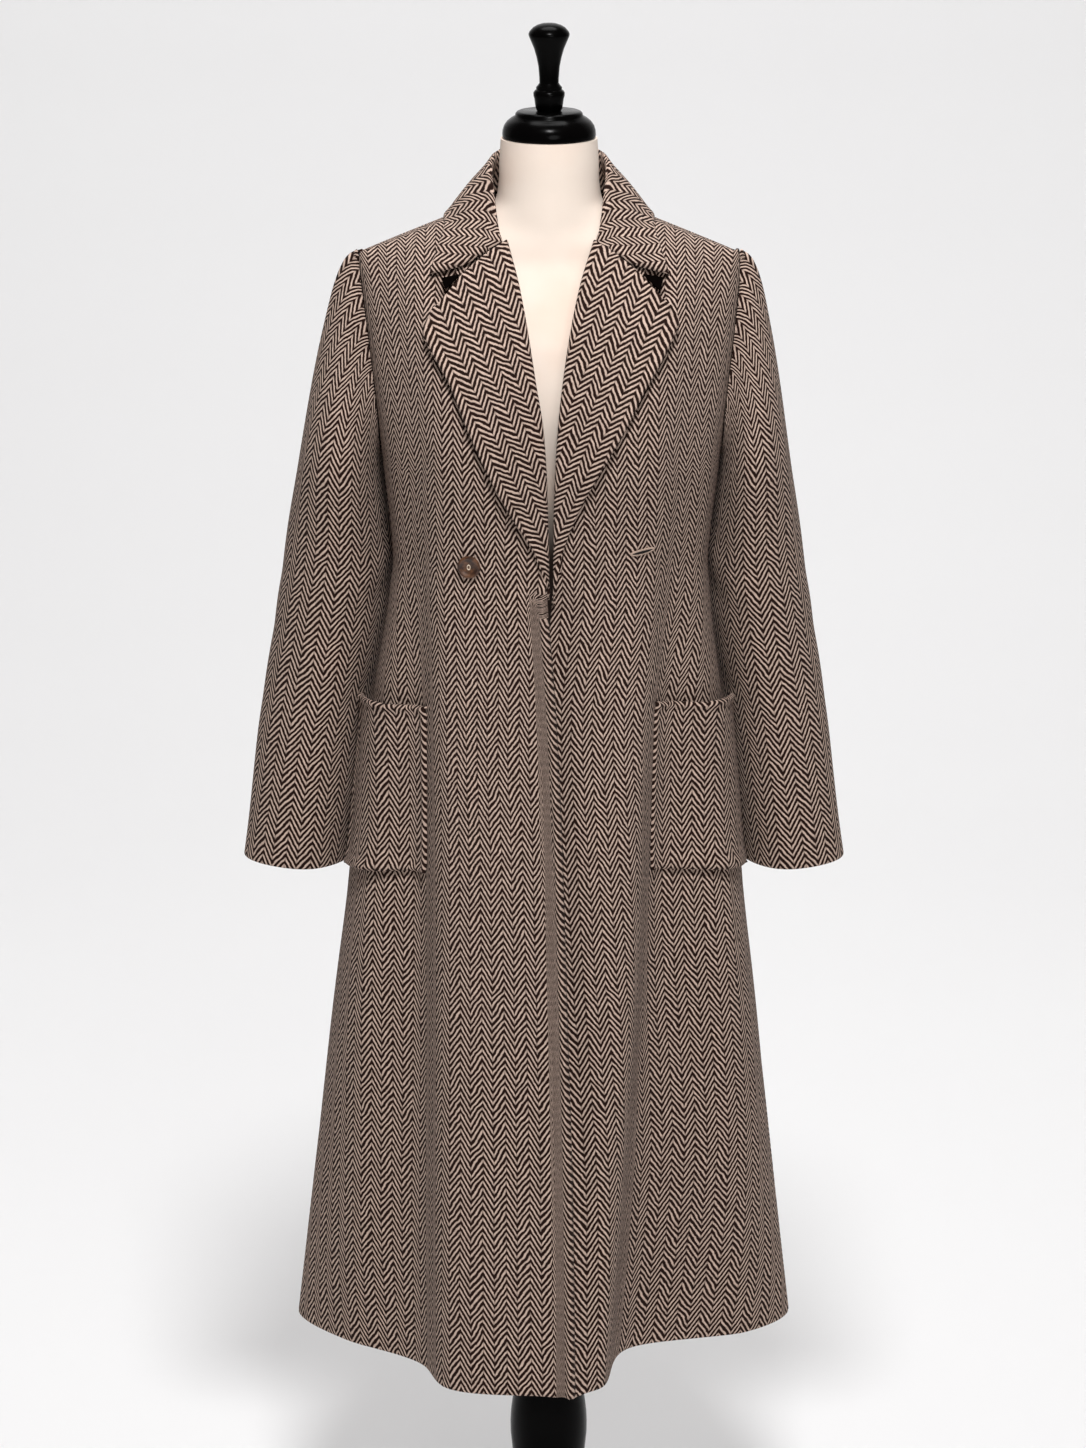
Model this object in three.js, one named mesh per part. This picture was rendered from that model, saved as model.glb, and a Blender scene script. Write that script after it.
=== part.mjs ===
// A long herringbone wool coat, worn open on a linen dress form that stands on a turned post.
// Millimetres, +Z up. The front faces -Y and +X is the wearer's left. The origin is under the
// middle of the stand's round base, on the floor.
import * as THREE from 'three';

const { lerp, clamp } = THREE.MathUtils;

// Driving sizes of the coat
const WALL = 3; // wool cloth with its interlining
const SEAM = 0.3; // gap between two pieces that are sewn together
const LAY = 0.8; // gap under a piece that lies on another
const HEM_Z = 280;
const BREAK_Z = 1085; // where the lapels stop rolling
const UNDERARM_Z = 1210;
const POCKET_TOP_Z = 966;
const POCKET_BOTTOM_Z = 788;
const POCKET_GAPE = { right: 11, left: 10 }; // how far a pocket's outer top corner stands off
const NECK_POINT = { x: 68, y: 8, z: 1464 };
const SHOULDER_POINT = { x: 190, y: 2, z: 1416 };
const BACK_NECK = { y: 60, z: 1470 };
const PROFILE_POWER = 1.8; // fullness of the chest from the underarm up to the shoulder
const SWELL = { front: 0.16, back: 0.5 }; // how the chest and the back go on swelling above it
const SEAM_PULL = 6; // how late a panel turns towards the shoulder seam as it rises
const BUTTON = { x: -79, z: 1123, radius: 11.5, thickness: 4.5 };

// Driving sizes of the dress form and its stand
const FORM_TOP_Z = 1529;
const BASE_RADIUS = 165;
const BASE_HEIGHT = 28;

// A short table: the names of its columns, then one array for each row
const table = (columns, rows) => {
  const names = columns.split(' ');
  return rows.map((row) => Object.fromEntries(names.map((name, i) => [name, row[i]])));
};

// Level sections of the skirt and bodice, one row for each height. Each front runs from its
// edge over a broad fold to a valley, then over the hip to the side seam.
const RIGHT_FRONT = table('z edgeX edgeY foldX foldY valleyX valleyY hipX hipY sideX sideY', [
  [280, 27, -228, -101, -207, -134, -137, -213, -72, -265, 8],
  [500, 24, -203, -102, -182, -134, -118, -204, -80, -239, 7],
  [700, 18, -178, -102, -160, -133, -100, -190, -74, -214, 6],
  [860, 13, -158, -103, -142, -132, -86, -178, -64, -196, 5],
  [980, 7, -144, -104, -130, -131, -82, -163, -56, -175, 4],
  [1104, -2.5, -134, -104, -122, -130, -86, -152, -54, -158, 4],
  [1210, -7, -144, -96, -140, -130, -108, -158, -68, -167, 3],
]);
const LEFT_FRONT = table('z edgeX edgeY foldX foldY valleyX valleyY hipX hipY sideX sideY', [
  [280, 30, -226, 54, -206, 82, -99, 207, -52, 254, 8],
  [500, 25, -196, 68, -180, 96, -100, 201, -66, 229, 7],
  [700, 12, -170, 80, -158, 106, -90, 186, -66, 206, 6],
  [860, 4, -150, 84, -140, 111, -84, 173, -58, 192, 5],
  [980, -3, -136, 90, -128, 117, -82, 158, -56, 173, 4],
  [1104, 5, -132, 96, -121, 124, -86, 153, -54, 161, 4],
  [1210, 11, -144, 96, -140, 132, -108, 162, -68, 171, 3],
]);
// The back runs from side to side over two soft folds and a shallow middle.
const BACK = table('z middleY foldX foldY valleyX valleyY hipX hipY', [
  [280, 176, 88, 194, 146, 142, 224, 92],
  [500, 160, 84, 174, 140, 126, 204, 78],
  [700, 143, 80, 152, 132, 112, 186, 66],
  [860, 126, 76, 132, 124, 100, 172, 56],
  [980, 106, 72, 110, 116, 86, 154, 46],
  [1104, 94, 70, 95, 112, 74, 142, 42],
  [1210, 112, 70, 111, 118, 90, 152, 54],
]);
// The inner edge of a front under its lapel, and the shoulder's reach, above the underarm
const OPENING = table('z right left', [[1210, 7, 11], [1262, 12, 12], [1300, 18, 18],
  [1354, 28, 29.5], [1410, 39, 40], [1440, 51, 52], [1464, 68, 68]]);
const REACH = table('z x', [[1210, 0], [1250, 5], [1300, 11], [1350, 16], [1400, 20], [1416, 21]]);
// How far across a front or the back the armhole cuts, from the underarm (0) to the shoulder (1)
const ARMHOLE = table('rise front back', [[0, 1, 1], [0.04, 0.93, 0.93], [0.12, 0.87, 0.88],
  [0.25, 0.84, 0.86], [0.4, 0.83, 0.85], [0.55, 0.835, 0.86], [0.7, 0.85, 0.88],
  [0.84, 0.89, 0.91], [0.94, 0.95, 0.96], [1, 1, 1]]);

// The roll of a lapel and its outer edge, from the break up to the gorge seam
const RIGHT_LAPEL = table('rollX rollZ edgeX edgeZ', [[0, 1088, -1, 1096], [0, 1130, -14, 1136],
  [-1, 1180, -39, 1180], [-2.6, 1226, -63, 1226], [-6, 1268, -80, 1264], [-12.5, 1306, -96, 1304],
  [-20.5, 1354, -112, 1332], [-29.5, 1398, -119, 1350], [-39, 1430, -113, 1366]]);
const LEFT_LAPEL = table('rollX rollZ edgeX edgeZ', [[4, 1080, 5, 1084], [4, 1130, 12, 1134],
  [4.4, 1180, 30, 1184], [6, 1226, 53, 1226], [8.8, 1268, 75, 1264], [13, 1306, 92, 1298],
  [20.5, 1354, 108, 1326], [30.5, 1398, 122, 1356], [41.5, 1430, 117, 1370]]);
const NOTCH = { right: { x: -84, z: 1401 }, left: { x: 89, z: 1400 } };

// The collar, from the gorge seam round to the middle of the back: its seam at the neckline,
// its crest and its outer edge, and how far its fall arches up between the last two
const COLLAR = table('seamX seamY seamZ crestX crestY crestZ edgeX edgeY edgeZ arch', [
  [52, -48, 1433, 43, -63, 1431, 116, -64, 1398, -9],
  [60, -34, 1448, 48, -48, 1449, 109, -46, 1424, 1],
  [65, -16, 1459, 51.5, -28, 1476, 103, -22, 1446, 4],
  [67, 2, 1466, 54, -4, 1499, 103, 8, 1456, 4],
  [61, 26, 1467, 50, 24, 1509, 90, 48, 1451, 4],
  [42, 46, 1470, 35, 47, 1512, 62, 77, 1447, 4],
  [21, 58, 1471, 18, 58, 1513, 32, 91, 1445, 4],
  [0, 61, 1471, 0, 61, 1513, 0, 96, 1444, 4],
]);

// A sleeve below the underarm: how far out its outer and inner sides hang, its depth, and how
// far back its inner side lies, behind the body's side
const SLEEVE = table('z rightOuter rightInner leftOuter leftInner frontY backY innerY', [
  [782, 315, 203, 305, 198, -38, 46, 34],
  [890, 301, 189, 290, 186, -38, 62, 42],
  [1000, 285, 169, 275, 168, -38, 78, 46],
  [1110, 268, 155, 258, 158, -48, 84, 48],
  [1180, 256, 164, 247, 167, -62, 76, 34],
]);

// Level sections of the form under the coat, as superellipses
const FORM = table('z side front back power', [
  [868, 136, 86, 90, 2.2], [875, 150, 94, 100, 2.2],
  [920, 154, 96, 100, 2.2], [1000, 138, 90, 86, 2.2], [1104, 118, 86, 68, 2.2],
  [1210, 140, 108, 90, 2.2], [1270, 150, 116, 96, 2.2], [1330, 160, 104, 88, 2.1],
  [1370, 165, 84, 72, 2], [1396, 166, 68, 58, 1.9], [1412, 160, 58, 50, 1.8],
  [1426, 140, 54, 46, 1.7], [1442, 102, 51, 44, 1.5], [1452, 76, 50, 44, 1.6],
  [1464, 56, 49, 45, 1.9], [1482, 50.5, 48, 46, 2], [1505, 49.5, 48, 46, 2],
  [FORM_TOP_Z, 48, 47, 46, 2],
]);

// Eased value of a column at any height, through the rows of a table
function readAt(rows, key, column, at) {
  const last = rows.length - 1;
  const x = clamp(at, rows[0][key], rows[last][key]);
  const i = clamp(rows.findIndex((row) => row[key] > x) - 1, 0, last - 1);
  const k = x >= rows[last][key] ? last - 1 : i;
  const slope = (a, b) => (rows[b][column] - rows[a][column]) / (rows[b][key] - rows[a][key]);
  const tangent = (n) => slope(Math.max(n - 1, 0), Math.min(n + 1, last));
  const width = rows[k + 1][key] - rows[k][key];
  const t = (x - rows[k][key]) / width;
  const [t2, t3] = [t * t, t * t * t];
  return rows[k][column] * (2 * t3 - 3 * t2 + 1) + rows[k + 1][column] * (3 * t2 - 2 * t3)
    + width * (tangent(k) * (t3 - 2 * t2 + t) + tangent(k + 1) * (t3 - t2));
}
const sectionAt = (rows, z) => {
  const row = {};
  for (const column of Object.keys(rows[0])) row[column] = readAt(rows, 'z', column, z);
  return row;
};

// Smooth line through points, walked by length
const STEPS_PER_SPAN = 10;
function trace(points) {
  const curve = new THREE.CatmullRomCurve3(points, false, 'centripetal');
  const fine = curve.getPoints((points.length - 1) * STEPS_PER_SPAN);
  const lengths = [0];
  for (let i = 1; i < fine.length; i++) lengths.push(lengths[i - 1] + fine[i].distanceTo(fine[i - 1]));
  return { fine, lengths };
}
function alongTrace({ fine, lengths }, length) {
  const i = clamp(lengths.findIndex((l) => l > length) - 1, 0, fine.length - 2);
  const k = length >= lengths[lengths.length - 1] ? fine.length - 2 : i;
  const t = clamp((length - lengths[k]) / (lengths[k + 1] - lengths[k]), 0, 1);
  return fine[k].clone().lerp(fine[k + 1], t);
}

// The whole coat's level section at a height, from the right front's edge round the back
const FRONT_POINTS = 5;
const BACK_POINTS = 7;
const frontLine = (row) => ['edge', 'fold', 'valley', 'hip', 'side'].map((name) => (
  new THREE.Vector3(row[`${name}X`], row[`${name}Y`], row.z)));
const traces = new Map();
function trunkTrace(z) {
  if (!traces.has(z)) {
    const back = sectionAt(BACK, z);
    const right = frontLine(sectionAt(RIGHT_FRONT, z));
    const left = frontLine(sectionAt(LEFT_FRONT, z)).reverse();
    const leftBack = ['fold', 'valley', 'hip'].map((name) => (
      new THREE.Vector3(back[`${name}X`], back[`${name}Y`], z)));
    const rightBack = leftBack.map((p) => new THREE.Vector3(-p.x, p.y, z)).reverse();
    const middle = new THREE.Vector3(0, back.middleY, z);
    traces.set(z, trace([...right, ...rightBack, middle, ...leftBack, ...left]));
  }
  return traces.get(z);
}
// A point of a panel on the level section: across runs from the front edge, or from the right
// side seam on the back, to the other side of the panel
const PANELS = {
  right: { from: 0, to: FRONT_POINTS - 1 },
  back: { from: FRONT_POINTS - 1, to: FRONT_POINTS + BACK_POINTS },
  left: { from: 2 * FRONT_POINTS + BACK_POINTS - 1, to: FRONT_POINTS + BACK_POINTS },
};
function levelPoint(panel, across, z) {
  const line = trunkTrace(z);
  const { from, to } = PANELS[panel];
  const start = line.lengths[from * STEPS_PER_SPAN];
  const end = line.lengths[to * STEPS_PER_SPAN];
  return alongTrace(line, lerp(start, end, across));
}

// A point of a front above the underarm. It rises from the level section to the shoulder seam.
const sideSign = { right: -1, left: 1 };
const fullness = (rise) => (1 - rise ** PROFILE_POWER) ** (1 / PROFILE_POWER);
const swell = (rise) => rise * (1 - rise) ** 2;
const share = (x, edge, side) => clamp((x - edge) / (side - edge), 0, 1);
function shoulderSeam(part) {
  return {
    x: lerp(NECK_POINT.x, SHOULDER_POINT.x, part),
    y: lerp(NECK_POINT.y, SHOULDER_POINT.y, part),
    z: lerp(NECK_POINT.z, SHOULDER_POINT.z, part),
  };
}
const riseAt = (part, z) => clamp((z - UNDERARM_Z) / (shoulderSeam(part).z - UNDERARM_Z), 0, 1);
function riseX(panel, part, z) {
  const sign = sideSign[panel];
  const side = levelPoint(panel, 1, UNDERARM_Z).x;
  const inner = sign * readAt(OPENING, 'z', panel, z);
  const outer = side + sign * readAt(REACH, 'z', 'x', Math.min(z, SHOULDER_POINT.z));
  return lerp(lerp(inner, outer, part), sign * shoulderSeam(part).x, riseAt(part, z) ** SEAM_PULL);
}
function frontRise(panel, part, start, z) {
  const top = shoulderSeam(part);
  const rise = riseAt(part, z);
  const y = top.y + (start.y - top.y) * (fullness(rise) + SWELL.front * swell(rise));
  return new THREE.Vector3(riseX(panel, part, z), y, z);
}
// The argument from 0 to 1 at which a rising function reaches a value
function solve(reached, value) {
  let [low, high] = [0, 1];
  for (let i = 0; i < 24; i++) {
    const middle = (low + high) / 2;
    if (reached(middle) < value) low = middle;
    else high = middle;
  }
  return low;
}
function frontUpper(panel, across, rise) {
  const cut = across * readAt(ARMHOLE, 'rise', 'front', rise);
  const start = levelPoint(panel, cut, UNDERARM_Z);
  const edge = levelPoint(panel, 0, UNDERARM_Z);
  const side = levelPoint(panel, 1, UNDERARM_Z);
  const part = share(start.x, edge.x, side.x);
  return frontRise(panel, part, start, lerp(UNDERARM_Z, shoulderSeam(part).z, rise));
}

// A point of the back above the underarm, up to the back neck and the shoulder seams
const BACK_NECK_SHARE = 0.4; // part of the half back that ends at the neck
function backTop(part) {
  if (part >= BACK_NECK_SHARE) {
    return shoulderSeam((part - BACK_NECK_SHARE) / (1 - BACK_NECK_SHARE));
  }
  const turn = (part / BACK_NECK_SHARE) * (Math.PI / 2);
  return {
    x: NECK_POINT.x * Math.sin(turn),
    y: lerp(NECK_POINT.y, BACK_NECK.y, Math.cos(turn)),
    z: lerp(NECK_POINT.z, BACK_NECK.z, Math.cos(turn)),
  };
}
function backUpper(across, rise) {
  const fromMiddle = (across - 0.5) * 2 * readAt(ARMHOLE, 'rise', 'back', rise);
  const start = levelPoint('back', 0.5 + fromMiddle / 2, UNDERARM_Z);
  const side = levelPoint('back', fromMiddle < 0 ? 0 : 1, UNDERARM_Z);
  const part = share(Math.abs(start.x), 0, Math.abs(side.x));
  const top = backTop(part);
  const z = lerp(UNDERARM_Z, top.z, rise);
  const reach = Math.abs(side.x) + readAt(REACH, 'z', 'x', Math.min(z, SHOULDER_POINT.z));
  const sign = Math.sign(fromMiddle);
  return new THREE.Vector3(
    sign * lerp(part * reach, top.x, rise ** SEAM_PULL),
    top.y + (start.y - top.y) * (fullness(rise) + SWELL.back * swell(rise)),
    z,
  );
}

// Depth of a front where it is seen at x, z, for the pieces that lie on it
function frontDepth(panel, x, z) {
  if (z < UNDERARM_Z) return levelByX(panel, x, z).y;
  const sign = sideSign[panel];
  const part = solve((p) => sign * riseX(panel, p, z), sign * x);
  const side = levelPoint(panel, 1, UNDERARM_Z).x;
  const edge = levelPoint(panel, 0, UNDERARM_Z).x;
  return frontRise(panel, part, levelByX(panel, lerp(edge, side, part), UNDERARM_Z), z).y;
}
function levelByX(panel, x, z) {
  const sign = sideSign[panel];
  return levelPoint(panel, solve((across) => sign * levelPoint(panel, across, z).x, sign * x), z);
}
function frontNormal(panel, x, z) {
  const step = 4;
  const slopeX = (frontDepth(panel, x + step, z) - frontDepth(panel, x - step, z)) / (2 * step);
  const slopeZ = (frontDepth(panel, x, z + step) - frontDepth(panel, x, z - step)) / (2 * step);
  return new THREE.Vector3(slopeX, -1, slopeZ).normalize();
}
function onFront(panel, x, z, away) {
  const point = new THREE.Vector3(x, frontDepth(panel, x, z), z);
  return point.addScaledVector(frontNormal(panel, x, z), away);
}

// Outward directions of a grid of points. Rows run upward and columns run towards +X on the
// front, so that each cell's cross product points out; flip turns the other way round.
function gridNormals(grid, { flip = false, closed = false } = {}) {
  const rows = grid.length;
  const columns = grid[0].length;
  return grid.map((row, i) => row.map((_, j) => {
    const left = closed ? (j + columns - 1) % columns : Math.max(j - 1, 0);
    const right = closed ? (j + 1) % columns : Math.min(j + 1, columns - 1);
    const across = grid[i][right].clone().sub(grid[i][left]);
    const up = grid[Math.min(i + 1, rows - 1)][j].clone().sub(grid[Math.max(i - 1, 0)][j]);
    const normal = across.cross(up).normalize();
    return flip ? normal.negate() : normal;
  }));
}

// A cloth wall: the outer points, the same points moved in, and the rim that joins them
function clothGeometry(grid, normals, { flip = false, closed = false } = {}) {
  const [rows, columns] = [grid.length, grid[0].length];
  const inner = grid.map((row, i) => row.map((p, j) => p.clone().addScaledVector(normals[i][j], -WALL)));
  const points = [...grid.flat(), ...inner.flat()];
  const out = (i, j) => i * columns + (j % columns);
  const back = (i, j) => rows * columns + out(i, j);
  const triangles = [];
  const face = (a, b, c, d) => {
    if (flip) triangles.push([a, c, b], [a, d, c]);
    else triangles.push([a, b, c], [a, c, d]);
  };
  const spans = closed ? columns : columns - 1;
  for (let i = 0; i < rows - 1; i++) {
    for (let j = 0; j < spans; j++) {
      face(out(i, j), out(i, j + 1), out(i + 1, j + 1), out(i + 1, j));
      face(back(i, j), back(i + 1, j), back(i + 1, j + 1), back(i, j + 1));
    }
  }
  for (let j = 0; j < spans; j++) {
    face(out(0, j + 1), out(0, j), back(0, j), back(0, j + 1));
    face(out(rows - 1, j), out(rows - 1, j + 1), back(rows - 1, j + 1), back(rows - 1, j));
  }
  if (!closed) {
    for (let i = 0; i < rows - 1; i++) {
      face(out(i, 0), out(i + 1, 0), back(i + 1, 0), back(i, 0));
      face(out(i + 1, columns - 1), out(i, columns - 1), back(i, columns - 1), back(i + 1, columns - 1));
    }
  }
  const geometry = new THREE.BufferGeometry();
  const positions = triangles.flat().flatMap((index) => points[index].toArray());
  geometry.setAttribute('position', new THREE.Float32BufferAttribute(positions, 3));
  geometry.computeVertexNormals();
  return geometry;
}

// Materials
const finish = (color, roughness) => new THREE.MeshStandardMaterial({ color, roughness, metalness: 0 });
const WOOL = () => finish(0x7a685f, 0.92);
const LINEN = () => finish(0xf3e6d9, 0.85);
const BLACK_GLOSS = () => finish(0x0d0c0c, 0.18);
const HORN = () => finish(0x2e1a12, 0.35);

const coat = new THREE.Group();
function add(name, geometry, material) {
  const mesh = new THREE.Mesh(geometry, material);
  mesh.name = name;
  coat.add(mesh);
}

// The trunk as one net of points, so that panels meet at their seams with the same edge
const LEVELS = [HEM_Z, 340, 410, 490, 570, 650, 720, POCKET_BOTTOM_Z, 830, 875, 920, POCKET_TOP_Z,
  1005, 1050, BREAK_Z, 1130, 1170, UNDERARM_Z];
const RISES = [0.04, 0.12, 0.24, 0.37, 0.5, 0.63, 0.75, 0.85, 0.93, 0.975, 1];
const FRONT_ACROSS = {
  right: [0, 0.09, 0.18, 0.27, 0.35, 0.42, 0.48, 0.535, 0.61, 0.69, 0.77, 0.86, 0.95, 1],
  left: [0, 0.08, 0.16, 0.24, 0.31, 0.37, 0.42, 0.465, 0.55, 0.65, 0.75, 0.85, 0.95, 1],
};
const POCKET_COLUMNS = { from: 7, to: 12 };
const BACK_ACROSS = Array.from({ length: 21 }, (_, i) => i / 20);

const frontGrid = (panel) => [
  ...LEVELS.map((z) => FRONT_ACROSS[panel].map((u) => levelPoint(panel, u, z))),
  ...RISES.map((rise) => FRONT_ACROSS[panel].map((u) => frontUpper(panel, u, rise))),
];
const grids = {
  right: frontGrid('right'),
  left: frontGrid('left'),
  back: [
    ...LEVELS.map((z) => BACK_ACROSS.map((u) => levelPoint('back', u, z))),
    ...RISES.map((rise) => BACK_ACROSS.map((u) => backUpper(u, rise))),
  ],
};
const flips = { right: true, left: false, back: true };
const normals = {
  right: gridNormals(grids.right, { flip: flips.right }),
  left: gridNormals(grids.left, { flip: flips.left }),
  back: gridNormals(grids.back, { flip: flips.back }),
};

// At a side seam both panels share one outward direction
const lastFront = FRONT_ACROSS.right.length - 1;
const lastBack = BACK_ACROSS.length - 1;
for (let i = 0; i < LEVELS.length - 1; i++) {
  for (const [panel, column] of [['right', 0], ['left', lastBack]]) {
    const shared = normals[panel][i][lastFront].clone().add(normals.back[i][column]).normalize();
    normals[panel][i][lastFront] = shared.clone();
    normals.back[i][column] = shared.clone();
  }
}
// Round an armhole the walls end square to the seam, whose middle is the centre of the arm
const ARM_CENTRE = { y: 0, z: 1318 };
const armDirection = (p) => new THREE.Vector3(0, p.y - ARM_CENTRE.y, p.z - ARM_CENTRE.z).normalize();
const topRow = grids.right.length - 1;
for (let i = LEVELS.length - 1; i <= topRow; i++) {
  for (const panel of ['right', 'left']) {
    normals[panel][i][lastFront] = armDirection(grids[panel][i][lastFront]);
  }
  for (const column of [0, lastBack]) {
    normals.back[i][column] = armDirection(grids.back[i][column]);
  }
}
// Along a shoulder seam the walls end square to the slope of the shoulder
const slope = Math.atan2(NECK_POINT.z - SHOULDER_POINT.z, SHOULDER_POINT.x - NECK_POINT.x);
const ridgeNormal = (x) => new THREE.Vector3(Math.sign(x) * Math.sin(slope), 0, Math.cos(slope));
for (let j = 0; j <= lastFront; j++) {
  for (const panel of ['right', 'left']) {
    normals[panel][topRow][j] = ridgeNormal(grids[panel][topRow][j].x);
  }
}
for (let j = 0; j <= lastBack; j++) {
  const p = grids.back[topRow][j];
  if (Math.abs(p.x) >= NECK_POINT.x - 1) normals.back[topRow][j] = ridgeNormal(p.x);
}

// Ease the edges of the panels back from their seams
function easeEdges(grid, moves) {
  const eased = grid.map((row) => row.map((p) => p.clone()));
  for (const { points, move } of moves) {
    for (const [i, j] of points) eased[i][j].add(move(grid[i][j]));
  }
  return eased;
}
const column = (j, from, to) => Array.from({ length: to - from + 1 }, (_, k) => [from + k, j]);
const rowOf = (i, count) => Array.from({ length: count + 1 }, (_, j) => [i, j]);
const shift = (x, y, z) => () => new THREE.Vector3(x, y, z);
const underarmRow = LEVELS.length - 1;
for (const panel of ['right', 'left']) {
  const inward = -sideSign[panel];
  const eased = easeEdges(grids[panel], [
    { points: column(lastFront, 0, topRow), move: shift(0, -SEAM / 2, 0) },
    { points: column(lastFront, underarmRow, topRow), move: shift(inward * SEAM, 0, 0) },
    { points: rowOf(topRow, lastFront), move: shift(0, -SEAM, 0) },
  ]);
  add(`front_${panel}`, clothGeometry(eased, normals[panel], { flip: flips[panel] }), WOOL());
}
const towardMiddle = (p) => new THREE.Vector3(-Math.sign(p.x) * SEAM, 0, 0);
add('back', clothGeometry(easeEdges(grids.back, [
  { points: column(0, 0, topRow), move: shift(0, SEAM / 2, 0) },
  { points: column(lastBack, 0, topRow), move: shift(0, SEAM / 2, 0) },
  { points: column(0, underarmRow, topRow), move: towardMiddle },
  { points: column(lastBack, underarmRow, topRow), move: towardMiddle },
  { points: rowOf(topRow, lastBack), move: shift(0, SEAM, 0) },
]), normals.back, { flip: flips.back }), WOOL());

// Patch pockets, from the front's own points moved out, with a mouth that stands off. The mouth
// gapes more and more from its inner edge to its outer one.
const GAPE_TURN = Math.PI / 2;
for (const panel of ['right', 'left']) {
  const bottom = LEVELS.indexOf(POCKET_BOTTOM_Z);
  const top = LEVELS.indexOf(POCKET_TOP_Z);
  const { from, to } = POCKET_COLUMNS;
  const rows = [];
  const directions = [];
  for (let i = bottom; i <= top; i++) {
    const up = (i - bottom) / (top - bottom);
    const line = [];
    for (let j = from; j <= to; j++) {
      const open = Math.sin(((j - from) / (to - from)) * GAPE_TURN);
      const lift = LAY + WALL + POCKET_GAPE[panel] * open * up ** 3;
      line.push(grids[panel][i][j].clone().addScaledVector(normals[panel][i][j], lift));
    }
    rows.push(line);
    directions.push(normals[panel][i].slice(from, to + 1));
  }
  add(`pocket_${panel}`, clothGeometry(rows, directions, { flip: flips[panel] }), WOOL());
}

// Lapels, turned back over the fronts. Each row runs from the roll out to the lapel's edge, and
// the top row follows the gorge seam and the notch.
const LAPEL_ACROSS = [0, 0.035, 0.1, 0.22, 0.4, 0.6, 0.8, 1];
const LAPEL_LAY = 1.2;
const ROLL_DIP = 2.4; // how far the lapel turns down at its roll, to hide the front's edge
const ROLL_WIDTH = 9;
const FULL_ROLL_REACH = 25; // a narrower stretch of lapel dips less
const NOTCH_SHARE = 0.6; // part of the lapel's top row that ends at the notch
const GORGE_BEND = 4; // how late the rows turn to follow the gorge seam
const lapelTables = { right: RIGHT_LAPEL, left: LEFT_LAPEL };
// The rows of a table with one more, eased, between each two
function halved(rows) {
  const placed = rows.map((row, i) => ({ ...row, place: i }));
  return Array.from({ length: 2 * rows.length - 1 }, (_, k) => {
    const row = {};
    for (const name of Object.keys(rows[0])) row[name] = readAt(placed, 'place', name, k / 2);
    return row;
  });
}
for (const panel of ['right', 'left']) {
  const stations = halved(lapelTables[panel]);
  const last = stations[stations.length - 1];
  const notch = NOTCH[panel];
  const rows = stations.map((row, i) => LAPEL_ACROSS.map((u) => {
    const x = lerp(row.rollX, row.edgeX, u);
    const z = lerp(row.rollZ, row.edgeZ, u);
    const inner = clamp(u / NOTCH_SHARE, 0, 1);
    const outer = clamp((u - NOTCH_SHARE) / (1 - NOTCH_SHARE), 0, 1);
    const topX = lerp(lerp(last.rollX, notch.x, inner), last.edgeX, outer);
    const topZ = lerp(lerp(last.rollZ, notch.z, inner), last.edgeZ, outer);
    const bend = (i / (stations.length - 1)) ** GORGE_BEND;
    const straightX = lerp(last.rollX, last.edgeX, u);
    const straightZ = lerp(last.rollZ, last.edgeZ, u);
    const reach = Math.abs(row.edgeX - row.rollX);
    const fromRoll = clamp((u * reach) / ROLL_WIDTH, 0, 1);
    const dip = ROLL_DIP * clamp(reach / FULL_ROLL_REACH, 0, 1);
    const lift = LAPEL_LAY + WALL - dip * (1 - fromRoll) ** 2;
    return onFront(panel, x + bend * (topX - straightX), z + bend * (topZ - straightZ), lift);
  }));
  const flip = flips[panel];
  add(`lapel_${panel}`, clothGeometry(rows, gridNormals(rows, { flip }), { flip }), WOOL());
}

// The collar stands up round the neck and falls over the shoulders
const COLLAR_LAY = 1.2;
const STAND_POINTS = 3; // points of a collar line that stand at the neck
const CROWN = { out: 4, up: 2.5 }; // how far the fold at the top stands off the crest
const STAND_TOP = { down: 0.12, out: 0.5 }; // where the stand ends under the fold
function collarLine(row, sign) {
  const at = (name) => new THREE.Vector3(sign * row[`${name}X`], row[`${name}Y`], row[`${name}Z`]);
  const [seam, crest, edge] = [at('seam'), at('crest'), at('edge')];
  const outward = edge.clone().sub(crest).setZ(0).normalize();
  const standTop = crest.clone().lerp(seam, STAND_TOP.down).addScaledVector(outward, STAND_TOP.out);
  const crown = crest.clone().addScaledVector(outward, CROWN.out).setZ(crest.z + CROWN.up);
  const fallen = (part, arch) => (
    crown.clone().lerp(edge, part).setZ(lerp(crown.z, edge.z, part) + arch));
  const [middle, low] = [fallen(0.5, row.arch), fallen(0.8, row.arch / 2)];
  return [seam, standTop, crown, crown.clone().lerp(middle, 0.4), middle, low, edge];
}
// A point of the fall that would sink into a front is moved out onto it
function settleOnFront(point, panel) {
  const seam = shoulderSeam(share(Math.abs(point.x), NECK_POINT.x, SHOULDER_POINT.x));
  if (point.y > 0 || point.z > seam.z) return point;
  const normal = frontNormal(panel, point.x, point.z);
  const gap = (frontDepth(panel, point.x, point.z) - point.y) * -normal.y;
  return point.addScaledVector(normal, Math.max(COLLAR_LAY + WALL - gap, 0));
}
const collarRows = halved(COLLAR);
const settled = (row, panel) => collarLine(row, sideSign[panel])
  .map((point, k) => (k < STAND_POINTS ? point : settleOnFront(point, panel)));
const collar = [...collarRows.map((row) => settled(row, 'right')),
  ...collarRows.slice(0, -1).reverse().map((row) => settled(row, 'left'))];
add('collar', clothGeometry(collar, gridNormals(collar, { flip: true }), { flip: true }), WOOL());

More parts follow.
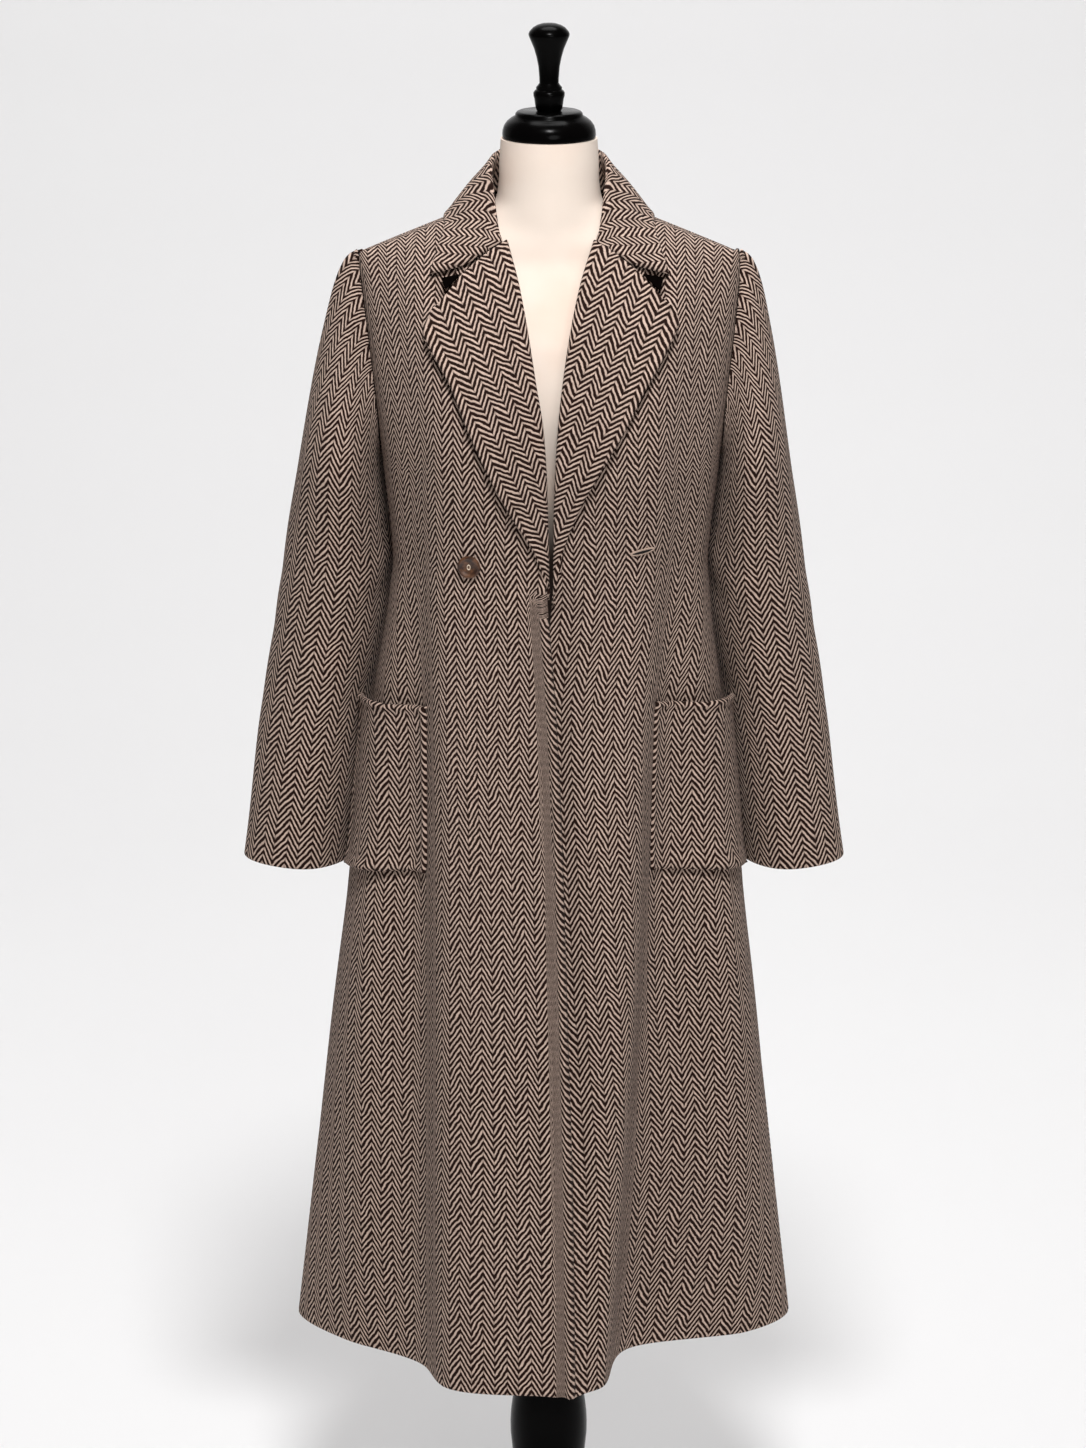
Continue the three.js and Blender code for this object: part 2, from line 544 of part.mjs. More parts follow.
// Sleeves, from the armhole's own points to the cuff
const SLEEVE_RINGS = [1110, 1055, 1000, 945, 890, 836, 782];
const HEAD_STEPS = [0, 0.1, 0.22, 0.36, 0.52, 0.7, 0.86];
const SLEEVE_TOP_Z = SLEEVE[SLEEVE.length - 1].z;
const CUFF_TILT = 0.05;
// How a sleeve leaves its armhole, at the underarm and at the top of the head: outwards, upwards,
// and for what part of the way to the first ring
const LEAVE = { under: { out: 0.35, up: -0.9, reach: 0.5 }, top: { out: 1, up: 0.05, reach: 0.35 } };
const ARRIVE_DROP = 20; // the sleeve's own direction is read this far below its first ring
function sleeveRing(panel, z, turn) {
  const outer = readAt(SLEEVE, 'z', `${panel}Outer`, z);
  const inner = readAt(SLEEVE, 'z', `${panel}Inner`, z);
  const front = readAt(SLEEVE, 'z', 'frontY', z);
  const back = readAt(SLEEVE, 'z', 'backY', z);
  const x = lerp(inner, outer, 0.5 - Math.cos(turn) / 2);
  const inward = Math.max(Math.cos(turn), 0) ** 2;
  const behind = readAt(SLEEVE, 'z', 'innerY', z) - (front + back) / 2;
  const y = lerp(back, front, 0.5 + Math.sin(turn) / 2) + behind * inward;
  return new THREE.Vector3(sideSign[panel] * x, y, z + CUFF_TILT * (x - (inner + outer) / 2));
}
for (const panel of ['right', 'left']) {
  const sign = sideSign[panel];
  const backColumn = panel === 'right' ? 0 : lastBack;
  const front = grids[panel].slice(underarmRow).map((row) => row[lastFront]);
  const back = grids.back.slice(underarmRow).map((row) => row[backColumn]);
  const armhole = [...front, ...back.slice(1, -1).reverse()];
  const count = armhole.length;
  const top = front.length - 1;
  const turns = armhole.map((_, k) => (k <= top ? (k / top) * Math.PI
    : Math.PI + ((k - top) / (count - top)) * Math.PI));
  const rings = HEAD_STEPS.map((s) => armhole.map((p, k) => {
    const start = p.clone().add(new THREE.Vector3(sign * SEAM, 0, 0));
    const end = sleeveRing(panel, SLEEVE_TOP_Z, turns[k]);
    const next = sleeveRing(panel, SLEEVE_TOP_Z - ARRIVE_DROP, turns[k]);
    const length = start.distanceTo(end);
    const high = 0.5 - Math.cos(turns[k]) / 2;
    const leaving = (name) => lerp(LEAVE.under[name], LEAVE.top[name], high);
    const leave = new THREE.Vector3(sign * leaving('out'), 0, leaving('up'));
    leave.multiplyScalar(leaving('reach') * length);
    const arrive = next.sub(end).normalize().multiplyScalar(length);
    const [s2, s3] = [s * s, s * s * s];
    return start.clone().multiplyScalar(2 * s3 - 3 * s2 + 1)
      .addScaledVector(leave, s3 - 2 * s2 + s)
      .addScaledVector(end, 3 * s2 - 2 * s3)
      .addScaledVector(arrive, s3 - s2);
  }));
  for (const z of [SLEEVE_TOP_Z, ...SLEEVE_RINGS]) {
    rings.push(turns.map((turn) => sleeveRing(panel, z, turn)));
  }
  const options = { flip: panel === 'left', closed: true };
  const directions = gridNormals(rings, options);
  directions[0] = armhole.map((p) => armDirection(p));
  add(`sleeve_${panel}`, clothGeometry(rings, directions, options), WOOL());
}

// The button lies on the right front
const RIM = { height: 1.2, width: 2.2 };
const buttonOutline = [[0, 0], [BUTTON.radius - 1, 0], [BUTTON.radius, 1],
  [BUTTON.radius, BUTTON.thickness - 1], [BUTTON.radius - 1, BUTTON.thickness],
  [BUTTON.radius - RIM.width, BUTTON.thickness], [BUTTON.radius - RIM.width - 1,
    BUTTON.thickness - RIM.height], [0, BUTTON.thickness - RIM.height]];
const buttonGeometry = new THREE.LatheGeometry(buttonOutline.map(([r, h]) => new THREE.Vector2(r, h)), 20);
const buttonSeat = onFront('right', BUTTON.x, BUTTON.z, LAY);
const buttonNormal = onFront('right', BUTTON.x, BUTTON.z, LAY + 1).sub(buttonSeat).normalize();
const buttonTurn = new THREE.Quaternion().setFromUnitVectors(new THREE.Vector3(0, 1, 0), buttonNormal);
buttonGeometry.applyMatrix4(new THREE.Matrix4().compose(buttonSeat, buttonTurn, new THREE.Vector3(1, 1, 1)));
add('button', buttonGeometry, HORN());

// The form's linen body
const FORM_SIDES = 32;
function formGeometry() {
  const rings = FORM.map((row) => Array.from({ length: FORM_SIDES }, (_, k) => {
    const turn = (k / FORM_SIDES) * 2 * Math.PI;
    const [c, s] = [Math.cos(turn), Math.sin(turn)];
    const bow = (value) => Math.sign(value) * Math.abs(value) ** (2 / row.power);
    return new THREE.Vector3(row.side * bow(c), (s < 0 ? row.front : row.back) * bow(s), row.z);
  }));
  const points = [...rings.flat(), new THREE.Vector3(0, 0, FORM[0].z), new THREE.Vector3(0, 0, FORM_TOP_Z)];
  const [floor, roof] = [rings.length * FORM_SIDES, rings.length * FORM_SIDES + 1];
  const index = (i, k) => i * FORM_SIDES + (k % FORM_SIDES);
  const triangles = [];
  for (let k = 0; k < FORM_SIDES; k++) {
    triangles.push(floor, index(0, k + 1), index(0, k));
    triangles.push(roof, index(rings.length - 1, k), index(rings.length - 1, k + 1));
    for (let i = 0; i < rings.length - 1; i++) {
      triangles.push(index(i, k), index(i, k + 1), index(i + 1, k + 1));
      triangles.push(index(i, k), index(i + 1, k + 1), index(i + 1, k));
    }
  }
  const geometry = new THREE.BufferGeometry();
  geometry.setAttribute('position', new THREE.Float32BufferAttribute(
    triangles.flatMap((at) => points[at].toArray()), 3));
  geometry.computeVertexNormals();
  return geometry;
}
add('form_body', formGeometry(), LINEN());

// Turned pieces: outlines of radius and height, spun about the post's axis
function turned(name, outline, material, sides = 32) {
  const geometry = new THREE.LatheGeometry(outline.map(([r, h]) => new THREE.Vector2(r, h)), sides);
  geometry.rotateX(Math.PI / 2);
  add(name, geometry, material);
}
turned('form_cap', [[0, FORM_TOP_Z + SEAM], [45, FORM_TOP_Z + SEAM], [46.5, 1533], [46, 1538],
  [43, 1545], [34, 1551], [33, 1554], [30, 1556], [0, 1556]], BLACK_GLOSS());
turned('form_finial', [[0, 1556.3], [12, 1556.3], [13.5, 1560], [14.5, 1568], [15.5, 1574],
  [13, 1577], [13, 1580], [9.5, 1583], [10.5, 1600], [15, 1618], [20, 1630], [20, 1634],
  [16, 1638], [8, 1642], [0, 1643]], BLACK_GLOSS(), 24);
turned('stand_post', [[0, BASE_HEIGHT + SEAM], [52, BASE_HEIGHT + SEAM], [54, 40], [40, 62],
  [34, 84], [36, 112], [40.5, 150], [40, 172], [36.5, 196], [34.5, 216], [37, 232], [37, 300],
  [36, 400], [30, 470], [24, 540], [24, 800], [30, 850], [34, 867.7], [0, 867.7]], BLACK_GLOSS());
turned('stand_base', [[0, 0], [BASE_RADIUS - 4, 0], [BASE_RADIUS, 5], [BASE_RADIUS, 14],
  [BASE_RADIUS - 10, 20], [BASE_RADIUS - 45, 24], [70, BASE_HEIGHT], [0, BASE_HEIGHT]],
BLACK_GLOSS(), 48);

export default coat;
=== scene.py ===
# %% [markdown]
# A long herringbone wool coat on a dress form
#
# The coat hangs open on a linen form that stands on a turned black post. Everything is in metres here,
# with +Z up, the front towards -Y and +X to the wearer's left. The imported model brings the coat's plain
# solids; this lesson puts finely shaped cloth, sewing and finishes in their place, piece by piece, in
# the order in which a tailor works: trunk, pockets, lapels, collar, sleeves, button.

import math
from functools import lru_cache

import bmesh
import bpy
import numpy as np
from mathutils import Matrix, Vector


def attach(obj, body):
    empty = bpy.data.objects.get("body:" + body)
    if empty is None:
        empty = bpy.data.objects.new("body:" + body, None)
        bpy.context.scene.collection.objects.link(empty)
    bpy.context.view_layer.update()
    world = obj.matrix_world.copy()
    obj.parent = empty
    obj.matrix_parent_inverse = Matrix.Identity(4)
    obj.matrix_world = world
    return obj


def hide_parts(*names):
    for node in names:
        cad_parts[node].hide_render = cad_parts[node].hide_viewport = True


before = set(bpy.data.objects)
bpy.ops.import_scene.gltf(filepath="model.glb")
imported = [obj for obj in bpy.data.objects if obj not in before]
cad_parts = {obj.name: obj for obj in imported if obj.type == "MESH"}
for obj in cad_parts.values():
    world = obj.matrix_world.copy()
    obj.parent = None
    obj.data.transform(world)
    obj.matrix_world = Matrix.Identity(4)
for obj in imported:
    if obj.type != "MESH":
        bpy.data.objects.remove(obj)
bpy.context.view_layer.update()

# %% [markdown]
# The camera comes first, because it decides how large everything looks. A studio would put a long lens
# five metres away and a little above the coat, so that its lines stay straight. The lens is given for a
# 36 mm sensor along the picture's long side.

# %% Camera
CAMERA_PLACE = (-0.006, -5.0, 2.28)
CAMERA_DOWN = math.radians(15.15)
LENS, SENSOR, SEEN_TO = 125.8, 36, 50

camera = bpy.data.objects.new("camera", bpy.data.cameras.new("camera"))
bpy.context.scene.collection.objects.link(camera)
camera.location = CAMERA_PLACE
camera.rotation_euler = (math.pi / 2 - CAMERA_DOWN, 0, 0)
camera.data.lens = LENS
camera.data.sensor_width = SENSOR
camera.data.clip_end = SEEN_TO
bpy.context.scene.camera = camera
print("camera", CAMERA_PLACE, "lens", LENS)

# %% [markdown]
# A garment's shape can be kept as a few level sections, the way a pattern cutter measures a figure. Each
# short table below has named columns and one row for each height, in millimetres. A front runs from its
# edge over a broad fold into a valley, then over the hip to the side seam. Heights between the rows are
# read off with a smooth curve through them.

# %% Level sections of the trunk
MM = 0.001
WALL = 3
HEM_Z = 280
BREAK_Z = 1085
UNDERARM_Z = 1210


def table(columns, rows):
    """A short table as one array for each named column."""
    return dict(zip(columns.split(), np.array(rows, float).T))


def read(rows, key, column, at):
    """The eased value of a column at a value, or an array of values, of its key."""
    x, y = rows[key], rows[column]
    at = np.clip(at, x[0], x[-1])
    k = np.clip(np.searchsorted(x, at, side="right") - 1, 0, len(x) - 2)
    low = np.maximum(np.arange(len(x)) - 1, 0)
    high = np.minimum(np.arange(len(x)) + 1, len(x) - 1)
    tangent = (y[high] - y[low]) / (x[high] - x[low])
    width = x[k + 1] - x[k]
    t = (at - x[k]) / width
    ease = 3 * t**2 - 2 * t**3
    bend = tangent[k] * (t**3 - 2 * t**2 + t) + tangent[k + 1] * (t**3 - t**2)
    return y[k] * (1 - ease) + y[k + 1] * ease + width * bend


FRONT = {
    "right": table("z edge_x edge_y fold_x fold_y valley_x valley_y hip_x hip_y side_x side_y", [
        [280, 27, -228, -101, -207, -134, -137, -213, -72, -265, 8],
        [500, 24, -203, -102, -182, -134, -118, -204, -80, -239, 7],
        [700, 18, -178, -102, -160, -133, -100, -190, -74, -214, 6],
        [860, 13, -158, -103, -142, -132, -86, -178, -64, -196, 5],
        [980, 7, -144, -104, -130, -131, -82, -163, -56, -175, 4],
        [1104, -2.5, -134, -104, -122, -130, -86, -152, -54, -158, 4],
        [1210, -7, -144, -96, -140, -130, -108, -158, -68, -167, 3],
    ]),
    "left": table("z edge_x edge_y fold_x fold_y valley_x valley_y hip_x hip_y side_x side_y", [
        [280, 30, -226, 54, -206, 82, -99, 207, -52, 254, 8],
        [500, 25, -196, 68, -180, 96, -100, 201, -66, 229, 7],
        [700, 12, -170, 80, -158, 106, -90, 186, -66, 206, 6],
        [860, 4, -150, 84, -140, 111, -84, 173, -58, 192, 5],
        [980, -3, -136, 90, -128, 117, -82, 158, -56, 173, 4],
        [1104, 5, -132, 96, -121, 124, -86, 153, -54, 161, 4],
        [1210, 11, -144, 96, -140, 132, -108, 162, -68, 171, 3],
    ]),
}
BACK = table("z middle_y fold_x fold_y valley_x valley_y hip_x hip_y", [
    [280, 176, 88, 194, 146, 142, 224, 92],
    [500, 160, 84, 174, 140, 126, 204, 78],
    [700, 143, 80, 152, 132, 112, 186, 66],
    [860, 126, 76, 132, 124, 100, 172, 56],
    [980, 106, 72, 110, 116, 86, 154, 46],
    [1104, 94, 70, 95, 112, 74, 142, 42],
    [1210, 112, 70, 111, 118, 90, 152, 54],
])
SIGN = {"right": -1, "left": 1}
print("hem at", HEM_Z, "mm, underarm at", UNDERARM_Z, "mm")

# %% [markdown]
# One smooth line goes right round the coat at each height, through the right front, the back and the
# left front. A panel is a stretch of that line between two seams, so neighbouring panels always meet.
# The line is walked by its length, which keeps the cloth from stretching anywhere.

# %% The line round the coat at a height
STEPS = 24
FRONT_POINTS = 5
BACK_POINTS = 7
STRETCH = {
    "right": (0, FRONT_POINTS - 1),
    "back": (FRONT_POINTS - 1, FRONT_POINTS + BACK_POINTS),
    "left": (2 * FRONT_POINTS + BACK_POINTS - 1, FRONT_POINTS + BACK_POINTS),
}


def smooth_line(points):
    """A centripetal curve through points, in STEPS steps from each to the next."""
    p = np.vstack([2 * points[0] - points[1], points, 2 * points[-1] - points[-2]])
    gap = np.sqrt(np.linalg.norm(np.diff(p, axis=0), axis=1))
    t = (np.arange(STEPS) / STEPS)[:, None]
    spans = []
    for k in range(len(points) - 1):
        (a, b, c, d), (g0, g1, g2) = p[k:k + 4], gap[k:k + 3]
        leave = ((b - a) / g0 - (c - a) / (g0 + g1) + (c - b) / g1) * g1
        arrive = ((c - b) / g1 - (d - b) / (g1 + g2) + (d - c) / g2) * g1
        ease = 3 * t**2 - 2 * t**3
        spans.append(b * (1 - ease) + c * ease + leave * (t**3 - 2 * t**2 + t) + arrive * (t**3 - t**2))
    return np.vstack([*spans, points[-1:]])


@lru_cache(maxsize=None)
def trunk_line(z):
    """The coat's level section at a height: points x, y and the length walked to each."""
    def front(side):
        rows = FRONT[side]
        names = ("edge", "fold", "valley", "hip", "side")
        return np.array([[read(rows, "z", f"{n}_{axis}", z) for axis in "xy"] for n in names])

    half = np.array([[read(BACK, "z", f"{n}_{axis}", z) for axis in "xy"] for n in ("fold", "valley", "hip")])
    middle = [[0.0, float(read(BACK, "z", "middle_y", z))]]
    points = np.vstack([front("right"), half[::-1] * [-1, 1], middle, half, front("left")[::-1]])
    line = smooth_line(points)
    return line, np.concatenate([[0], np.cumsum(np.linalg.norm(np.diff(line, axis=0), axis=1))])


def level(panel, across, z):
    """Points x, y, z of a panel at a height, for shares across it from 0 to 1."""
    line, length = trunk_line(float(z))
    start, end = (length[k * STEPS] for k in STRETCH[panel])
    at = start + np.asarray(across) * (end - start)
    x, y = np.interp(at, length, line[:, 0]), np.interp(at, length, line[:, 1])
    return np.stack([x, y, np.full_like(x, z)], axis=-1)


print("hem round the coat:", round(float(trunk_line(float(HEM_Z))[1][-1])), "mm")

# %% [markdown]
# Above the underarm the panels rise over the chest and the shoulder blades to the shoulder seam, and the
# armholes are cut out of their sides. The rise is a rounded profile: nearly upright at first, then
# turning in towards the seam.

# %% The trunk above the underarm
NECK_POINT = np.array([68.0, 8, 1464])
SHOULDER_POINT = np.array([190.0, 2, 1416])
BACK_NECK = np.array([0.0, 60, 1470])
BACK_NECK_SHARE = 0.4
PROFILE_POWER = 1.8
SWELL = {"front": 0.16, "back": 0.5}
SEAM_PULL = 6
OPENING = table("z right left", [[1210, 7, 11], [1262, 12, 12], [1300, 18, 18], [1354, 28, 29.5],
                                 [1410, 39, 40], [1440, 51, 52], [1464, 68, 68]])
REACH = table("z x", [[1210, 0], [1250, 5], [1300, 11], [1350, 16], [1400, 20], [1416, 21]])
ARMHOLE = table("rise front back", [[0, 1, 1], [0.04, 0.93, 0.93], [0.12, 0.87, 0.88], [0.25, 0.84, 0.86],
                                    [0.4, 0.83, 0.85], [0.55, 0.835, 0.86], [0.7, 0.85, 0.88],
                                    [0.84, 0.89, 0.91], [0.94, 0.95, 0.96], [1, 1, 1]])


def mix(a, b, share):
    return a + (b - a) * share


def profile(rise, part):
    """How far a panel still stands off the shoulder seam, from 1 at the underarm to 0."""
    full = (1 - np.clip(rise, 0, 1) ** PROFILE_POWER) ** (1 / PROFILE_POWER)
    return full + SWELL[part] * rise * (1 - rise) ** 2


def shoulder_seam(part):
    return mix(NECK_POINT, SHOULDER_POINT, np.asarray(part)[..., None])


def front_x(side, part, z):
    """Where a front stands across at a height, for a share part of its width."""
    sign, seam = SIGN[side], shoulder_seam(part)
    outer = level(side, 1.0, UNDERARM_Z)[0] + sign * read(REACH, "z", "x", z)
    rise = np.clip((z - UNDERARM_Z) / (seam[..., 2] - UNDERARM_Z), 0, 1)
    plain = mix(sign * read(OPENING, "z", side, z), outer, part)
    return mix(plain, sign * seam[..., 0], rise**SEAM_PULL)


def front_rise(side, part, start_y, z):
    seam = shoulder_seam(part)
    rise = np.clip((z - UNDERARM_Z) / (seam[..., 2] - UNDERARM_Z), 0, 1)
    y = seam[..., 1] + (start_y - seam[..., 1]) * profile(rise, "front")
    return np.stack([front_x(side, part, z), y, z], axis=-1)


def front_upper(side, across, rise):
    start = level(side, np.asarray(across) * read(ARMHOLE, "rise", "front", rise), UNDERARM_Z)
    edge, seam_side = (level(side, float(k), UNDERARM_Z)[0] for k in (0, 1))
    part = np.clip((start[:, 0] - edge) / (seam_side - edge), 0, 1)
    return front_rise(side, part, start[:, 1], mix(UNDERARM_Z, shoulder_seam(part)[:, 2], rise))


def back_upper(across, rise):
    from_middle = (np.asarray(across) - 0.5) * 2 * read(ARMHOLE, "rise", "back", rise)
    start = level("back", 0.5 + from_middle / 2, UNDERARM_Z)
    side = np.where(from_middle < 0, -level("back", 0.0, UNDERARM_Z)[0], level("back", 1.0, UNDERARM_Z)[0])
    part = np.clip(np.abs(start[:, 0]) / side, 0, 1)
    turn = np.clip(part / BACK_NECK_SHARE, 0, 1) * math.pi / 2
    neck = mix(NECK_POINT, BACK_NECK, np.cos(turn)[:, None])
    neck[:, 0] = NECK_POINT[0] * np.sin(turn)
    past = np.clip((part - BACK_NECK_SHARE) / (1 - BACK_NECK_SHARE), 0, 1)
    top = np.where((part < BACK_NECK_SHARE)[:, None], neck, shoulder_seam(past))
    z = mix(UNDERARM_Z, top[:, 2], rise)
    reach = side + read(REACH, "z", "x", z)
    x = np.sign(from_middle) * mix(part * reach, top[:, 0], rise**SEAM_PULL)
    y = top[:, 1] + (start[:, 1] - top[:, 1]) * profile(rise, "back")
    return np.stack([x, y, z], axis=-1)


print("shoulder seam", round(float(np.linalg.norm(SHOULDER_POINT - NECK_POINT))), "mm long")

# %% [markdown]
# Pieces that lie on a front, such as a lapel or the button, ask the front where it is. At a place x, z
# they get the point on its surface and the direction that points out of it.

# %% Places on a front
SHARES = np.linspace(0, 1, 241)


@lru_cache(maxsize=None)
def front_row(side, z):
    """A front's x and y along one height, in the order of growing distance from the middle."""
    if z < UNDERARM_Z:
        row = level(side, SHARES, z)
    else:
        start = level(side, SHARES, UNDERARM_Z)
        edge, outer = start[0, 0], start[-1, 0]
        part = (start[:, 0] - edge) / (outer - edge)
        row = front_rise(side, part, start[:, 1], np.full_like(part, z))
    return SIGN[side] * row[:, 0], row[:, 1]


def front_depth(side, x, z):
    reach, depth = front_row(side, round(float(z), 2))
    return float(np.interp(SIGN[side] * x, reach, depth))


def front_out(side, x, z, step=4.0):
    """The direction out of a front at x, z."""
    slope_x = (front_depth(side, x + step, z) - front_depth(side, x - step, z)) / (2 * step)
    slope_z = (front_depth(side, x, z + step) - front_depth(side, x, z - step)) / (2 * step)
    return np.array([slope_x, -1, slope_z]) / math.sqrt(1 + slope_x**2 + slope_z**2)


def on_front(side, x, z, away=0.0):
    return np.array([x, front_depth(side, x, z), z]) + away * front_out(side, x, z)


print("front at the button:", on_front("right", -79, 1123).round(1))

# %% [markdown]
# Every piece of cloth is a net of points. A bmesh grid gives the net, each of its points goes to its
# place on the cloth, and a map in real metres says where the weave lies: along the grain on one axis and
# across it on the other. A solidify modifier then gives the cloth its three millimetres, on the inner
# side, so that the outer face stays where the tables put it.

# %% Nets of cloth
def out_of(net, flip):
    """Directions out of a net of points, rows upward."""
    across = np.gradient(net, axis=1)
    up = np.gradient(net, axis=0)
    out = np.cross(across, up)
    size = np.linalg.norm(out, axis=2, keepdims=True)
    out[-1] = np.where(size[-1] < 1e-3, out[-2], out[-1])
    out /= np.maximum(np.linalg.norm(out, axis=2, keepdims=True), 1e-9)
    return -out if flip else out


def walked(net, axis):
    """Length walked along a net's rows (axis 1) or up its columns (axis 0)."""
    step = np.linalg.norm(np.diff(net, axis=axis), axis=2)
    start = np.zeros_like(step[:, :1] if axis else step[:1])
    return np.concatenate([start, np.cumsum(step, axis=axis)], axis=axis)


def made_object(name, bm):
    """The finished bmesh as an object in the scene."""
    piece = bpy.data.objects.new(name, bpy.data.meshes.new(name))
    bm.to_mesh(piece.data)
    bm.free()
    bpy.context.scene.collection.objects.link(piece)
    return piece


def sew(name, net, weave, flip=False, closed=False, wall=WALL):
    """A piece of cloth over a net of points in mm, with its weave map in mm."""
    rows, columns = net.shape[:2]
    bm = bmesh.new()
    bmesh.ops.create_grid(bm, x_segments=columns - 1, y_segments=rows - 1, size=1)
    uv = bm.loops.layers.uv.new("weave")
    places, threads = net.reshape(-1, 3) * MM, weave.reshape(-1, 2) * MM
    bm.verts.ensure_lookup_table()
    for vert, place in zip(bm.verts, places):
        vert.co = place
    for face in bm.faces:
        face.smooth = True
        for loop in face.loops:
            loop[uv].uv = threads[loop.vert.index]
    if closed:
        bmesh.ops.remove_doubles(bm, verts=bm.verts[:], dist=1e-5)
    if flip:
        bmesh.ops.reverse_faces(bm, faces=bm.faces[:])
    piece = made_object(name, bm)
    if wall:
        thick = piece.modifiers.new("thickness", "SOLIDIFY")
        thick.thickness, thick.offset = wall * MM, -1
    print(name, "net", rows, "x", columns)
    return piece


# %% [markdown]
# Herringbone is a twill that turns back on itself every so many threads, so its diagonal lines zigzag.
# In a material, the share across one zigzag gives a rising and falling ramp; taking that ramp away from
# the distance along the grain bends level stripes into chevrons. A little noise moves the lines and
# changes their strength, because woollen yarn is uneven and fuzzy. The same stripes raise the surface a
# little in the bump.

# %% Material helpers
class Finish:
    """A material with short calls for its maths nodes."""

    def __init__(self, name):
        self.material = bpy.data.materials.new(name)
        self.material.use_nodes = True
        self.tree = self.material.node_tree
        self.shader = self.tree.nodes["Principled BSDF"]

    def node(self, kind, **settings):
        made = self.tree.nodes.new(kind)
        for key, value in settings.items():
            setattr(made, key, value)
        return made

    def put(self, socket, value):
        if isinstance(value, bpy.types.NodeSocket):
            self.tree.links.new(value, socket)
        else:
            socket.default_value = value

    def place(self):
        """Where a point is on its object, in metres."""
        return self.node("ShaderNodeTexCoord").outputs["Object"]

    def maths(self, operation, *values):
        made = self.node("ShaderNodeMath", operation=operation)
        for socket, value in zip(made.inputs, values):
            self.put(socket, value)
        return made.outputs[0]

    def noise(self, where, scale, detail=2.0, roughness=0.5):
        made = self.node("ShaderNodeTexNoise")
        self.put(made.inputs["Vector"], where)
        for key, value in (("Scale", scale), ("Detail", detail), ("Roughness", roughness)):
            made.inputs[key].default_value = value
        return made.outputs[0]

    def ramp(self, value, low, high, to_low=0.0, to_high=1.0):
        made = self.node("ShaderNodeMapRange", interpolation_type="SMOOTHSTEP")
        for socket, number in zip(made.inputs, (value, low, high, to_low, to_high)):
            self.put(socket, number)
        return made.outputs[0]

    def blend(self, share, a, b, kind="MIX"):
        made = self.node("ShaderNodeMix", data_type="RGBA", blend_type=kind)
        for socket, value in zip((made.inputs[0], made.inputs[6], made.inputs[7]), (share, a, b)):
            self.put(socket, value)
        return made.outputs[2]

    def bump(self, height, distance, strength=1.0):
        made = self.node("ShaderNodeBump")
        made.inputs["Distance"].default_value = distance
        made.inputs["Strength"].default_value = strength
        self.put(made.inputs["Height"], height)
        self.put(self.shader.inputs["Normal"], made.outputs[0])

    def set(self, **sockets):
        for key, value in sockets.items():
            self.put(self.shader.inputs[key.replace("_", " ").title()], value)

    def shine(self, level):
        self.shader.inputs["Specular IOR Level"].default_value = level


def srgb(*values):
    """A colour as it is read off a screen, 0 to 255, in the renderer's own linear numbers."""
    linear = [(v / 255 / 12.92) if v <= 10 else ((v / 255 + 0.055) / 1.055) ** 2.4 for v in values]
    return (*linear, 1.0)


print("a mid grey on screen is", round(srgb(128)[0], 3), "in linear numbers")


# %% Herringbone wool
ZIGZAG = 21.0  # mm across one whole zigzag
TURN = 0.46  # share of it where the line rises
RISE = 18.0  # mm that the line climbs
PITCH = 7.6  # mm from one light line to the next, along the grain
CROSS_PITCH, CROSS_RISE = 6.3, 11.5  # the same on the lapels and the collar
DRIFT_ACROSS, DRIFT_ALONG, WAVER = 0.16, 0.9, 0.35  # how far the lines stray
FUZZINESS = 0.9
DARK_YARN, DARK_FUZZ = srgb(23, 11, 8), srgb(42, 25, 19)
LIGHT_YARN, LIGHT_FUZZ = srgb(185, 157, 141), srgb(227, 203, 188)


